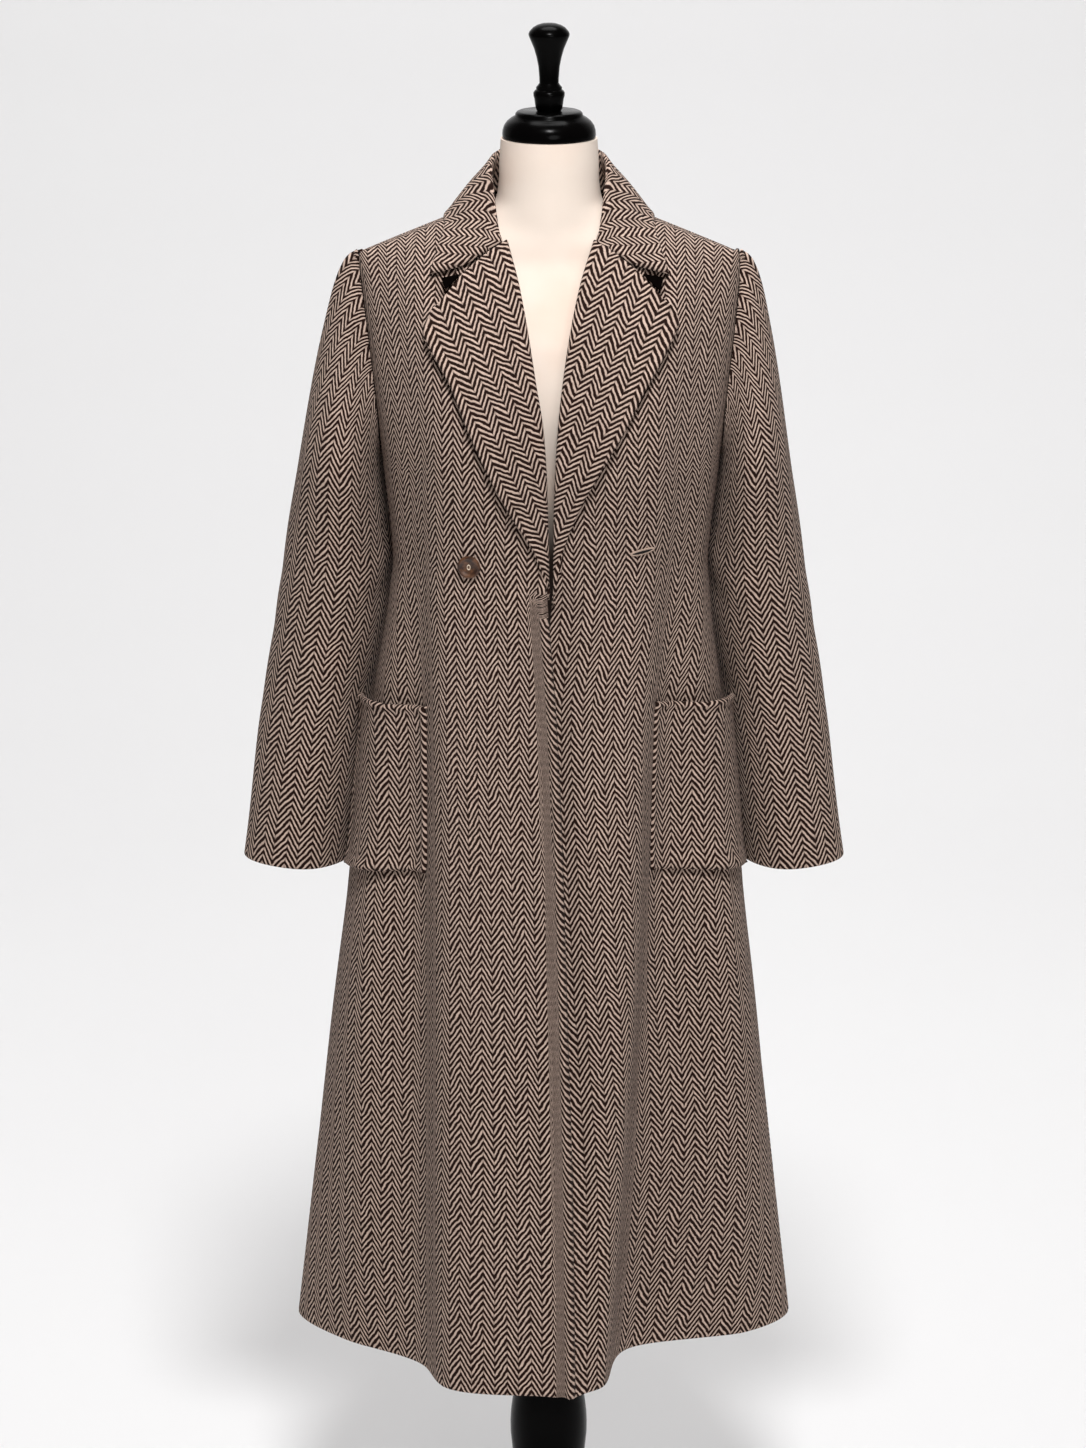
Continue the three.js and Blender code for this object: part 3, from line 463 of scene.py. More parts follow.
def herringbone(name, pitch=PITCH, climb=RISE):
    """The weave as a material, on the weave map of the piece."""
    wool = Finish(name)
    weave = wool.node("ShaderNodeUVMap", uv_map="weave").outputs[0]
    parts = wool.node("ShaderNodeSeparateXYZ")
    wool.put(parts.inputs[0], weave)
    drift = wool.maths("SUBTRACT", wool.noise(weave, 38.0, 2.0), 0.5)
    waver = wool.maths("SUBTRACT", wool.noise(weave, 210.0, 1.0), 0.5)
    across = wool.maths("MULTIPLY", parts.outputs[0], 1 / (ZIGZAG * MM))
    across = wool.maths("MULTIPLY_ADD", drift, DRIFT_ACROSS, across)
    share = wool.maths("FRACT", across)
    up = wool.maths("DIVIDE", share, TURN)
    down = wool.maths("DIVIDE", wool.maths("SUBTRACT", 1.0, share), 1 - TURN)
    chevron = wool.maths("MINIMUM", up, down)
    along = wool.maths("MULTIPLY", parts.outputs[1], 1 / (pitch * MM))
    along = wool.maths("MULTIPLY_ADD", chevron, -climb / pitch, along)
    along = wool.maths("MULTIPLY_ADD", drift, DRIFT_ALONG, along)
    along = wool.maths("MULTIPLY_ADD", waver, WAVER, along)
    wave = wool.maths("COSINE", wool.maths("MULTIPLY", along, 2 * math.pi))
    fuzz = wool.noise(weave, 900.0, 3.0, 0.65)
    wave = wool.maths("MULTIPLY_ADD", wool.maths("SUBTRACT", fuzz, 0.5), FUZZINESS, wave)
    line = wool.ramp(wave, -0.2, 0.8)
    turn = wool.maths("MINIMUM", chevron, wool.maths("SUBTRACT", 1.0, chevron))
    stroke = wool.ramp(turn, 0.0, 0.13, 0.62, 1.0)
    patch = wool.ramp(wool.noise(weave, 120.0, 3.0), 0.3, 0.7, 0.78, 1.0)
    light = wool.maths("MULTIPLY", line, wool.maths("MULTIPLY", patch, stroke))
    wool.set(base_color=wool.blend(light, wool.blend(fuzz, DARK_YARN, DARK_FUZZ),
                                   wool.blend(fuzz, LIGHT_YARN, LIGHT_FUZZ)))
    wool.bump(wool.maths("MULTIPLY_ADD", fuzz, 0.5, line), 0.0006, 0.7)
    wool.set(roughness=0.95)
    wool.shine(0.05)
    wool.shader.inputs["Sheen Weight"].default_value = 0.03
    wool.shader.inputs["Sheen Roughness"].default_value = 0.6
    return wool.material


WOOL = herringbone("herringbone_wool")
CROSS_WOOL = herringbone("herringbone_turned", CROSS_PITCH, CROSS_RISE)
print("herringbone: zigzag", ZIGZAG, "mm, lines every", PITCH, "mm")

# %% [markdown]
# The fronts and the back are cut from the same line round the coat. On real cloth the edges are turned in
# and pressed, so they look like a soft round bead with a shallow channel inside it, and a sewn seam lies
# in a fine groove. Both are small moves along the cloth's own outward direction, by how far a point is
# from the edge. The wide creases and the drag of hanging cloth are moves too, broad and shallow.

# %% Edges, seams and creases
EDGE_ROUND = 3.4  # radius of a turned edge
HEM_ROUND = 2.4  # and of a pressed hem
BEAD_AT, BEAD_WIDE = 4.0, 2.8
PRESSED_AT, PRESSED_WIDE = 11.5, 3.6
SEAM_DIP, SEAM_WIDE = 1.3, 2.2
TURN_STEPS = np.array([0.0, 0.5, 1.1, 1.9, 2.9, 4.2, 6.0, 8.5, 12.0, 16.0])
TURN_CLEAR = 18  # no coarse step lies closer than this to a turned edge


def ridge(value, centre, width):
    """A soft rounded ridge of height 1."""
    return np.exp(-(((value - centre) / width) ** 2))


def fade(value, start, end):
    """From 0 at start to 1 at end, eased."""
    t = np.clip((value - start) / (end - start), 0, 1)
    return t * t * (3 - 2 * t)


def turned(distance, radius=EDGE_ROUND):
    """How far the rounding of a turned edge falls back, by the distance from the edge."""
    close = np.clip(1 - distance / radius, 0, 1)
    return -radius * (1 - np.sqrt(np.maximum(1 - close**2, 0)))


def edge_profile(distance, bead=1.1, channel=1.3):
    """A turned edge with its soft bead and the pressed channel inside it."""
    return (turned(distance) + bead * ridge(distance, BEAD_AT, BEAD_WIDE)
            - channel * ridge(distance, PRESSED_AT, PRESSED_WIDE))


def seam_profile(distance):
    """The fine groove of a sewn seam."""
    return -SEAM_DIP * ridge(distance, 0, SEAM_WIDE)


def round_corner(net, from_edge, from_hem, radius):
    """A net whose corner, by the distances from two edges, is eased to a quarter circle."""
    a, b = np.clip(radius - from_edge, 0, radius), np.clip(radius - from_hem, 0, radius)
    ease = 1 - np.maximum(a, b) / np.maximum(np.hypot(a, b), 1e-6)
    across, up = (np.gradient(net, axis=k) * np.sign(np.gradient(away, axis=k))[..., None]
                  for k, away in ((1, from_edge), (0, from_hem)))
    across, up = (v / np.maximum(np.linalg.norm(v, axis=2, keepdims=True), 1e-6) for v in (across, up))
    return net + (a * ease)[..., None] * across + (b * ease)[..., None] * up


def spaced(start, end, step, fine_ends=(True, True)):
    """Values from start to end about a step apart, closer together near a turned edge."""
    keep = np.linspace(start, end, max(int(abs(end - start) / step), 2) + 1)
    sign = 1 if end > start else -1
    fine = []
    for is_fine, near, inward in ((fine_ends[0], start, sign), (fine_ends[1], end, -sign)):
        if is_fine:
            fine.append(near + inward * TURN_STEPS)
            keep = keep[np.abs(keep - near) > TURN_CLEAR]
    return np.unique(np.concatenate([keep, *fine]))[::sign]


print("a turned edge falls back", EDGE_ROUND, "mm, a seam lies", SEAM_DIP, "mm deep")


# %% [markdown]
# A front's net has rows from the hem to the underarm and on up to the shoulder seam. Its weave map is the
# length walked along the cloth, so the zigzags run with the grain. The grain swings a little below the
# waist, and a flared skirt spreads its zigzags. Beside the open edge on the wearer's right the zigzags are
# drawn together, because the cloth is rolled there.

# %% The net of a front
ROW_STEP, COLUMN_STEP = 6.0, 5.0
FRONT_WIDE, BACK_WIDE = 340.0, 560.0
RISES = np.concatenate([np.linspace(0, 1, 52)[1:-1], [0.992, 1.0]])
HEIGHTS = spaced(HEM_Z, UNDERARM_Z, ROW_STEP, (True, False))
WAIST_SWAY = 9.0  # mm by which the grain swings to the wearer's right below the waist
FLARE = 0.16  # how much wider the zigzags are at the hem
SWAY_Z, FLARE_Z = (900, 1090), (300, 960)
SQUEEZED = 4  # zigzags that are drawn together in the channel beside the open edge
SQUEEZED_Z = (1070, 1105)  # the height at which this fades out below the lapel
CORD_WIDE, CORD_END = 9, 20
CORD_START, CORD_RATE = 0.3, 0.8  # mm of the zigzag where the roll starts, and that it takes per mm


def fine_across(width):
    """Shares across a panel that is about width mm wide, closer together at both edges."""
    return spaced(0.0, width, COLUMN_STEP) / width


def front_net(side):
    across = fine_across(FRONT_WIDE)
    below = np.stack([level(side, across, z) for z in HEIGHTS])
    above = np.stack([front_upper(side, across, rise) for rise in RISES])
    return np.concatenate([below, above])


def weave_map(net, side):
    """Metres of cloth across from the front edge's grain line, and along the grain."""
    x_first, z_first = net[:, 0, 0], net[:, 0, 2]
    edge = FRONT[side]["edge_x"]
    grain_x = np.interp(np.minimum(z_first, BREAK_Z), FRONT[side]["z"], edge)
    start = SIGN[side] * (x_first - grain_x)
    sway = SIGN[side] * WAIST_SWAY * (1 - fade(net[..., 2], *SWAY_Z))
    wider = 1 + FLARE * (1 - fade(net[..., 2], *FLARE_Z))
    walk = walked(net, 1)
    across = (walk + start[:, None] + sway) / wider
    if side == "right":
        below = 1 - fade(net[..., 2], *SQUEEZED_Z)
        whole = ZIGZAG * (np.round(across[:, :1] / ZIGZAG) - SQUEEZED * below)
        cord = whole + CORD_START + CORD_RATE * np.minimum(walk, CORD_WIDE)
        across = mix(across, cord, (1 - fade(walk, CORD_WIDE, CORD_END)) * below)
    flat = net.copy()
    flat[..., 0] = 0
    along = walked(flat, 0)
    waist = np.argmin(np.abs(HEIGHTS - BREAK_Z))
    along = along - along[waist] + HEIGHTS[waist]
    return np.stack([across, along], axis=-1)


print("heights", len(HEIGHTS), "rises", len(RISES))

# %% [markdown]
# The wearer's right front ends in a full roll with a channel inside it, and lies over the left one, whose
# edge is drawn back. Broad, shallow creases come from the armhole, the waist and the swing of the skirt.
# Each is a ridge or a hollow along a slanted line. The cloth is pressed in under the notch, between collar
# and lapel.

# %% Shaping of the fronts
FRONT_FLIP = {"right": True, "left": False}
NOTCH_HOLLOW = {"right": (97, 1391), "left": (103, 1393)}
NOTCH_DEPTH = 17.0
HEM_DROP = {"right": 0.0, "left": 4.0}
HEM_CORNER = 7.0  # radius of the corner between the open edge and the hem
ROLL_ROUND, ROLL_RISE, ROLL_WIDE = 4.8, 4.2, 3.4
SEWN_IN, SEWN_AT, SEWN_WIDE = 3.6, 13.0, 3.8
ROLL_Z, OVERLAP_Z = (1080, 1120), (1065, 1115)
LEFT_BACK, RIGHT_FORWARD = 9.0, 5.0  # mm by which the two edges part, so that the right lies on top


def front_cord(distance):
    """The wearer's right edge: a full roll that stands proud, with a channel sewn inside it."""
    roll = turned(distance, ROLL_ROUND) + ROLL_RISE * ridge(distance, ROLL_ROUND, ROLL_WIDE)
    return roll - SEWN_IN * ridge(distance, SEWN_AT, SEWN_WIDE)


def front_shaping(side, net):
    """Millimetres that each point of a front moves out of its face."""
    from_edge, climb = walked(net, 1), walked(net, 0)
    x, z = np.abs(net[..., 0]), net[..., 2]
    overlap = 1 - fade(z, *OVERLAP_Z)
    if side == "left":
        open_edge = turned(from_edge) - LEFT_BACK * ridge(from_edge, 6, 20) * overlap
    else:
        open_edge = front_cord(from_edge) * (1 - fade(z, *ROLL_Z))
        open_edge = open_edge + RIGHT_FORWARD * (1 - fade(from_edge, 6, 46)) * overlap
    seams = seam_profile(from_edge[:, -1:] - from_edge) + seam_profile(climb[-1:] - climb)
    drag = 2.2 * ridge(x + 0.18 * (z - 1150), 128, 13) * ridge(z, 1235, 90)
    drag -= 1.6 * ridge(x + 0.3 * (z - 1150), 146, 12) * ridge(z, 1225, 70)
    waist = -1.5 * ridge(z + 0.5 * x, 1180, 14) * ridge(x, 150, 30)
    swing = 1.6 * np.sin(z / 47.0 + x / 31.0) * ridge(x, 190, 45) * (1 - fade(z, 900, 1050))
    notch_x, notch_z = NOTCH_HOLLOW[side]
    hollow = -NOTCH_DEPTH * ridge(x, notch_x, 13) * ridge(z, notch_z, 11)
    return open_edge + turned(z - HEM_Z, HEM_ROUND) + seams + drag + waist + swing + hollow


print("the right edge rolls", ROLL_ROUND, "mm round and stands", RIGHT_FORWARD, "mm forward")

# %% Fronts
fronts = {}
for side in ("right", "left"):
    net = front_net(side)
    weave = weave_map(net, side)
    shaped = net + front_shaping(side, net)[..., None] * out_of(net, FRONT_FLIP[side])
    from_edge, from_hem = walked(net, 1), net[..., 2] - HEM_Z
    shaped = round_corner(shaped, from_edge, from_hem, HEM_CORNER)
    shaped[..., 2] -= HEM_DROP[side] * ridge(from_edge, 0, 16) * (1 - fade(from_hem, 0, 60))
    fronts[side] = sew(f"coat_front_{side}", shaped, weave, FRONT_FLIP[side])
    fronts[side].data.materials.append(WOOL)

# %% [markdown]
# The back is one panel. Its grain line is its middle, from which the zigzags are counted to both sides.
# A soft crease lies across the small of the back, and two run from the armholes.

# %% Back
BACK_ACROSS = spaced(0.0, BACK_WIDE, 5.6) / BACK_WIDE
back_net = np.concatenate([np.stack([level("back", BACK_ACROSS, z) for z in HEIGHTS]),
                           np.stack([back_upper(BACK_ACROSS, rise) for rise in RISES])])
middle = len(BACK_ACROSS) // 2
back_walk = walked(back_net, 1)
flat_back = back_net.copy()
flat_back[..., 0] = 0
back_weave = np.stack([back_walk - back_walk[:, middle:middle + 1], walked(flat_back, 0) + HEM_Z], axis=-1)
back_x, back_z = back_net[..., 0], back_net[..., 2]
aside, back_climb = np.abs(back_x), walked(back_net, 0)
back_move = turned(back_z - HEM_Z, HEM_ROUND)
back_move += seam_profile(np.minimum(back_walk, back_walk[:, -1:] - back_walk))
back_move += seam_profile(back_climb[-1:] - back_climb)
back_move -= 2.4 * ridge(back_z + 0.25 * aside, 1118, 17) * ridge(aside, 62, 42)
back_move += 1.8 * ridge(back_z - 0.2 * aside, 1060, 24) * ridge(aside, 84, 40)
back_move += 2.5 * ridge(aside - 0.30 * (back_z - 1240), 122, 12) * ridge(back_z, 1250, 75)
swing = np.sin(back_z / 61.0 + back_x / 45.0) * ridge(back_x, 30, 140)
back_move += 2.0 * swing * (1 - fade(back_z, 700, 960))
back = sew("coat_back", back_net + back_move[..., None] * out_of(back_net, True), back_weave, True)
back.data.materials.append(WOOL)

# %% [markdown]
# A patch pocket is a rectangle of the same cloth, its top folded over and its other three sides turned in
# and sewn down. It takes its points from the front under it, moved out, so it follows every fold of the
# coat. Its mouth stands away, as a pocket does that hands have pulled open, and its top corners stay
# caught.

# %% Pockets
POCKET = {
    "right": table("place low_share high_share low_z high_z gape", [
        [0, 0.515, 0.55, 798, 971, 0], [0.5, 0.73, 0.75, 792, 966, 11], [1, 0.95, 0.95, 780, 961, 11]]),
    "left": table("place low_share high_share low_z high_z gape", [
        [0, 0.45, 0.48, 798, 977, 0], [0.5, 0.70, 0.715, 792, 969, 11], [1, 0.95, 0.95, 780, 961, 10]]),
}
LAY = 0.8  # mm between one piece and the cloth under it
CORNER = 8.0
POCKET_NARROW = 0.9  # the cloth is eased across the pocket
POCKET_WIDE, POCKET_DEEP = 94.0, 175.0
POCKET_GRAIN = (5.0, 4.0)  # where its weave starts
POCKET_BEAD = {"right": 1.2, "left": 0.0}
MOUTH_BEAD, MOUTH_CHANNEL = 1.6, 0.8
MOUTH_STITCH_AT = 27  # mm below the mouth, where its fold is sewn down


def pocket_edge(side, places, end):
    """Shares across the front and heights of a pocket's bottom or mouth."""
    return np.array([read(POCKET[side], "place", f"{end}_{name}", places) for name in ("share", "z")])


def pocket(side):
    """A pocket as a net that is laid on the front, place 0 to 1 from its inner side to its outer one."""
    places = spaced(0.0, POCKET_WIDE, 3.2) / POCKET_WIDE
    ups = spaced(0.0, POCKET_DEEP, 4.0) / POCKET_DEEP
    low, high = (pocket_edge(side, places, end) for end in ("low", "high"))
    net = np.array([[level(side, [mix(low[0, k], high[0, k], up)], mix(low[1, k], high[1, k], up))[0]
                     for k in range(len(places))] for up in ups])
    out = out_of(net, FRONT_FLIP[side])
    walk, climb = walked(net, 1), walked(net, 0)
    from_sides = np.minimum(walk, walk[:, -1:] - walk)
    from_bottom, from_mouth = climb, climb[-1:] - climb
    lift = LAY + WALL + read(POCKET[side], "place", "gape", places)[None, :] * ups[:, None] ** 3
    lift = lift + edge_profile(np.minimum(from_sides, from_bottom), POCKET_BEAD[side], POCKET_BEAD[side])
    lift = lift + edge_profile(from_mouth, MOUTH_BEAD, MOUTH_CHANNEL)
    lift += 1.6 * np.sin(climb / 21.0 + 3 * places) * ridge(places, 0.5, 0.35) * (1 - ups[:, None])
    lift += 4.0 * ridge(from_bottom, 7, 8) * ridge(places, 0.55, 0.4)
    lift -= ridge(from_mouth, MOUTH_STITCH_AT, 2.2)
    weave = np.stack([walk * POCKET_NARROW, climb], axis=-1) + POCKET_GRAIN
    shaped = round_corner(net + lift[..., None] * out, from_sides, from_bottom, CORNER)
    piece = sew(f"coat_pocket_{side}", shaped, weave, FRONT_FLIP[side])
    piece.data.materials.append(WOOL)
    return piece


pockets = {side: pocket(side) for side in ("right", "left")}

# %% [markdown]
# A lapel is the top of the front turned back on itself. Seen from the neck, the cloth comes up on the
# inside, rolls over and falls down over the front. So this piece starts behind the front's edge, goes
# round in a small half circle and then lies on the front out to its own edge. The weave runs along the
# lapel's outer edge, as a tailor cuts it.

# %% Lapels
LAPEL_LAY = 1.2
ROLL = 4.2  # radius of the roll
LAPEL_SPRING = 8.0  # how far the outer edge stands off the front
TIP_SPRING = 4.0  # and how much farther at the tip
NOTCH_SHARE = 0.6
GORGE_BEND = 4
LAPEL = {
    "right": table("roll_x roll_z edge_x edge_z", [
        [0, 1088, -1, 1096], [0, 1130, -14, 1136], [-1, 1180, -39, 1180], [-2.6, 1226, -63, 1226],
        [-6, 1268, -80, 1264], [-12.5, 1306, -96, 1304], [-20.5, 1354, -112, 1332], [-29.5, 1398, -119, 1350],
        [-39, 1430, -113, 1366]]),
    "left": table("roll_x roll_z edge_x edge_z", [
        [4, 1080, 5, 1084], [4, 1130, 12, 1134], [4.4, 1180, 30, 1184], [6, 1226, 53, 1226],
        [8.8, 1268, 75, 1264], [13, 1306, 92, 1298], [20.5, 1354, 108, 1326], [30.5, 1398, 122, 1356],
        [41.5, 1430, 117, 1370]]),
}
NOTCH = {"right": (-84, 1401), "left": (89, 1400)}
LAPEL_LEAN = math.radians(24)


def lapel_net(side):
    """Rows from the break up to the gorge, columns from inside the roll out to the edge."""
    rows = {**LAPEL[side], "place": np.arange(len(LAPEL[side]["roll_x"]), dtype=float)}
    last = {name: column[-1] for name, column in rows.items()}
    notch_x, notch_z = NOTCH[side]
    places = np.linspace(0, last["place"], 97)
    net, weave = [], []
    for place in places:
        row = {name: float(read(rows, "place", name, place)) for name in LAPEL[side]}
        reach = max(math.hypot(row["edge_x"] - row["roll_x"], row["edge_z"] - row["roll_z"]), 1.0)
        roll = min(ROLL, 0.5 * reach)
        bend = (place / last["place"]) ** GORGE_BEND
        flat = spaced(roll, reach, 3.6, (False, True)) if reach > 42 else np.linspace(roll, reach, 30)
        flat = np.interp(np.linspace(0, 1, 44), np.linspace(0, 1, len(flat)), flat)
        net_row, weave_row = [], []
        for distance in flat:
            u = distance / reach
            inner, outer = min(u / NOTCH_SHARE, 1), max((u - NOTCH_SHARE) / (1 - NOTCH_SHARE), 0)
            x, z = mix(row["roll_x"], row["edge_x"], u), mix(row["roll_z"], row["edge_z"], u)
            top_x = mix(mix(last["roll_x"], notch_x, inner), last["edge_x"], outer)
            top_z = mix(mix(last["roll_z"], notch_z, inner), last["edge_z"], outer)
            x += bend * (top_x - mix(last["roll_x"], last["edge_x"], u))
            z += bend * (top_z - mix(last["roll_z"], last["edge_z"], u))
            beaded = float(edge_profile(np.array(reach - distance), 0.7, 0.8))
            lift = LAPEL_LAY + WALL + beaded * min(reach / 30, 1)
            lift -= 8.0 * (1 - fade(place, 0, 0.8))
            lift += LAPEL_SPRING * u**2 * min(reach / 45, 1) + TIP_SPRING * bend * u
            net_row.append(on_front(side, x, z, lift))
            weave_row.append((x, z))
        base, out = net_row[0], front_out(side, row["roll_x"] + SIGN[side] * roll, row["roll_z"])
        away = base - net_row[1]
        away /= np.linalg.norm(away)
        centre = base - roll * out
        turns = np.linspace(math.pi, 0, 13)[:-1]
        wrapped = [centre + roll * (math.sin(t) * away + math.cos(t) * out) for t in turns]
        tail = [wrapped[0] - away * d for d in (8.0, 4.0)]
        first = np.array(weave_row[0])
        hidden_turns = [math.pi + 8 / roll, math.pi + 4 / roll, *turns]
        back_weave_row = [first + np.array([-SIGN[side], 0]) * (roll * t) for t in hidden_turns]
        net.append([*tail, *wrapped, *net_row])
        weave.append([*back_weave_row, *weave_row])
    net, weave = np.array(net), np.array(weave)
    inner = (1 - fade(np.linspace(0, 1, net.shape[1]), 0.35, 0.7))[:, None]
    step = (net[-1] - net[-3]) / np.linalg.norm(net[-1] - net[-3], axis=1, keepdims=True)
    for far in (2.5, 5.0, 7.5):
        net = np.concatenate([net, [net[96] + far * inner * step]])
        weave = np.concatenate([weave, [weave[96] + [0, far] * inner]])
    return net, weave


def leaning(weave, side):
    """The weave of a lapel, turned to run along its outer edge."""
    c, s = math.cos(LAPEL_LEAN), math.sin(LAPEL_LEAN) * SIGN[side]
    return np.stack([c * weave[..., 0] - s * weave[..., 1], s * weave[..., 0] + c * weave[..., 1]], axis=-1)


lapels = {}
for side in ("right", "left"):
    net, weave = lapel_net(side)
    lapels[side] = sew(f"coat_lapel_{side}", net, leaning(weave, side), FRONT_FLIP[side], wall=2.4)
    lapels[side].data.materials.append(CROSS_WOOL)

# %% [markdown]
# The collar is one strip round the neck: it is sewn to the neckline, stands up against the form, folds
# over and falls on the shoulders. Each station of the table gives its seam, its crest and its outer edge,
# and a smooth line goes through them. The zigzags follow one another along the strip.

# %% Collar
COLLAR_LAY = 1.2
COLLAR_SPRING = 3.0  # how far the end of the fall stands off the front
CROWN_OUT, CROWN_UP = 4, 2.5
STAND_DOWN, STAND_OUT = 0.12, 0.5
COLLAR = table("seam_x seam_y seam_z crest_x crest_y crest_z edge_x edge_y edge_z arch", [
    [52, -48, 1433, 43, -63, 1431, 116, -64, 1398, -9],
    [60, -34, 1448, 48, -48, 1449, 109, -46, 1424, 1],
    [65, -16, 1459, 51.5, -28, 1476, 104, -22, 1443.5, 4],
    [67, 2, 1466, 54, -4, 1499, 106, 8, 1450.5, 4],
    [61, 26, 1467, 50, 24, 1509, 90, 48, 1451, 4],
    [42, 46, 1470, 35, 47, 1512, 62, 77, 1447, 4],
    [21, 58, 1471, 18, 58, 1513, 32, 91, 1445, 4],
    [0, 61, 1471, 0, 61, 1513, 0, 96, 1444, 4],
])


def settle(point, side):
    """Moves a point of the fall out onto the front where it would sink into it."""
    seam = shoulder_seam(np.clip((abs(point[0]) - NECK_POINT[0]) / (SHOULDER_POINT[0] - NECK_POINT[0]), 0, 1))
    if point[1] > 0 or point[2] > seam[2]:
        return point
    out = front_out(side, point[0], point[2])
    gap = (front_depth(side, point[0], point[2]) - point[1]) * -out[1]
    spring = COLLAR_SPRING * fade(-point[1], 15, 50)
    return point + out * max(COLLAR_LAY + WALL + spring - gap, 0) * fade(-point[1], 0, 22)


def collar_line(row, side):
    """The guide points of one station, from the neck seam over the crest to the edge."""
    seam, crest, edge = (np.array([row[f"{n}_{a}"] for a in "xyz"]) * [SIGN[side], 1, 1]
                         for n in ("seam", "crest", "edge"))
    outward = (edge - crest) * [1, 1, 0]
    outward /= np.linalg.norm(outward)
    stand_top = mix(crest, seam, STAND_DOWN) + outward * STAND_OUT
    crown = crest + outward * CROWN_OUT + np.array([0, 0, CROWN_UP])
    middle = mix(crown, edge, 0.5) + [0, 0, row["arch"]]
    low = mix(crown, edge, 0.8) + [0, 0, row["arch"] / 2]
    fall = [settle(p, side) for p in (mix(crown, middle, 0.4), middle, low, edge)]
    return np.array([seam, stand_top, crown, *fall])


COLLAR_SHARES = np.concatenate([np.linspace(0, 0.86, 26), [0.9, 0.93, 0.955, 0.972, 0.985, 0.994, 1.0]])
stations = np.linspace(0, 7, 57)
placed = {**COLLAR, "place": np.arange(8, dtype=float)}
collar_rows = []
for side, order in (("right", stations), ("left", stations[-2::-1])):
    for place in order:
        row = {name: float(read(placed, "place", name, place)) for name in COLLAR}
        line = smooth_line(collar_line(row, side))
        length = np.concatenate([[0], np.cumsum(np.linalg.norm(np.diff(line, axis=0), axis=1))])
        wanted = COLLAR_SHARES * length[-1]
        collar_rows.append(np.stack([np.interp(wanted, length, line[:, k]) for k in range(3)], axis=-1))
collar_net = np.array(collar_rows)
collar_walk = walked(collar_net, 1)
round_neck = walked(collar_net, 0)
round_neck = round_neck - round_neck[len(stations) - 1]
from_edge = collar_walk[:, -1:] - collar_walk
from_ends = np.minimum(walked(collar_net, 0), walked(collar_net, 0)[-1:] - walked(collar_net, 0))
collar_move = edge_profile(from_edge, 0.2, 0.4) + turned(from_ends, HEM_ROUND)
mid_length = np.mean(round_neck, axis=1, keepdims=True) * np.ones_like(round_neck)
collar_weave = np.stack([0.6 * round_neck + 0.4 * mid_length, -from_edge], axis=-1)
collar_shaped = collar_net + collar_move[..., None] * out_of(collar_net, True)
collar = sew("coat_collar", collar_shaped, collar_weave, True, wall=2.6)
collar.data.materials.append(CROSS_WOOL)

# %% [markdown]
# Between the collar's end and the lapel each notch shows a small wedge of deep shade. It is laid here as a
# three-cornered net on the front, coloured near-black with a faint felt-like mottle: painted shade.

# %% Painted shade in the notches
NOTCH_SHADE_CORNERS = {
    "right": ((-87, 1405), (-106, 1401), (-102, 1391)),
    "left": ((92, 1405), (113, 1401), (109, 1390)),
}
notch_shade_finish = Finish("under_collar_felt")
notch_shade_place = notch_shade_finish.place()
notch_shade_mottle = notch_shade_finish.noise(notch_shade_place, 500.0, 3.0)
# Near-black colour: painted shade that stands for the dark wedge in each notch.
notch_shade_finish.set(base_color=notch_shade_finish.blend(notch_shade_mottle, srgb(5, 3, 3), srgb(11, 8, 7)), roughness=1.0)
notch_shade_finish.shine(0.0)
notch_shade_nets = {}
for side, (inner, upper, lower) in NOTCH_SHADE_CORNERS.items():
    corners = [np.array(corner, float) for corner in (inner, upper, lower)]
    spread = [[mix(corners[0], mix(corners[1], corners[2], j), i) for j in np.linspace(0, 1, 13)]
              for i in np.linspace(0.04, 1, 17)]
    net = np.array([[on_front(side, x, z, 1.0) for x, z in row] for row in spread])
    notch_shade_nets[side] = sew(f"under_collar_{side}", net, net[..., [0, 2]], flip=side == "right", wall=1.2)
    notch_shade_nets[side].data.materials.append(notch_shade_finish.material)

# %% [markdown]
# A set-in sleeve is a tube whose top is cut in a rounded head and eased into the armhole. Its first ring
# is the armhole itself; the next ones swing out and down to the upper arm, and from there the sleeve
# hangs straight and widens a little towards the cuff. Soft creases cross it at the elbow, and the head
# stands a little fuller than the shoulder.

# %% Sleeves
SEAM = 0.3
CUFF_TILT = 0.08
SLEEVE_NARROW = 0.82  # the zigzags are a little wider on the sleeves
SLEEVE = table("z right_outer right_inner left_outer left_inner front_y back_y inner_y", [
    [782, 315, 203, 305, 198, -38, 46, 34],
    [890, 301, 189, 290, 186, -38, 62, 42],
    [1000, 285, 169, 275, 168, -38, 78, 46],
    [1110, 268, 155, 258, 158, -48, 84, 48],
    [1180, 256, 164, 247, 167, -62, 76, 34],
])
SLEEVE_TOP_Z, CUFF_Z = 1180.0, 782.0
LEAVE = {"under": (0.35, -0.9, 0.5), "top": (1.0, 0.05, 0.35)}
ARM_CENTRE = np.array([0.0, 0.0, 1318.0])


def sleeve_ring(side, z, turn):
    outer, inner = (read(SLEEVE, "z", f"{side}_{n}", z) for n in ("outer", "inner"))
    front, rear = (read(SLEEVE, "z", f"{n}_y", z) for n in ("front", "back"))
    x = mix(inner, outer, 0.5 - np.cos(turn) / 2)
    behind = read(SLEEVE, "z", "inner_y", z) - (front + rear) / 2
    y = mix(rear, front, 0.5 + np.sin(turn) / 2) + behind * np.clip(np.cos(turn), 0, 1) ** 2
    return np.stack([SIGN[side] * x, y, z + CUFF_TILT * (x - (inner + outer) / 2)], axis=-1)


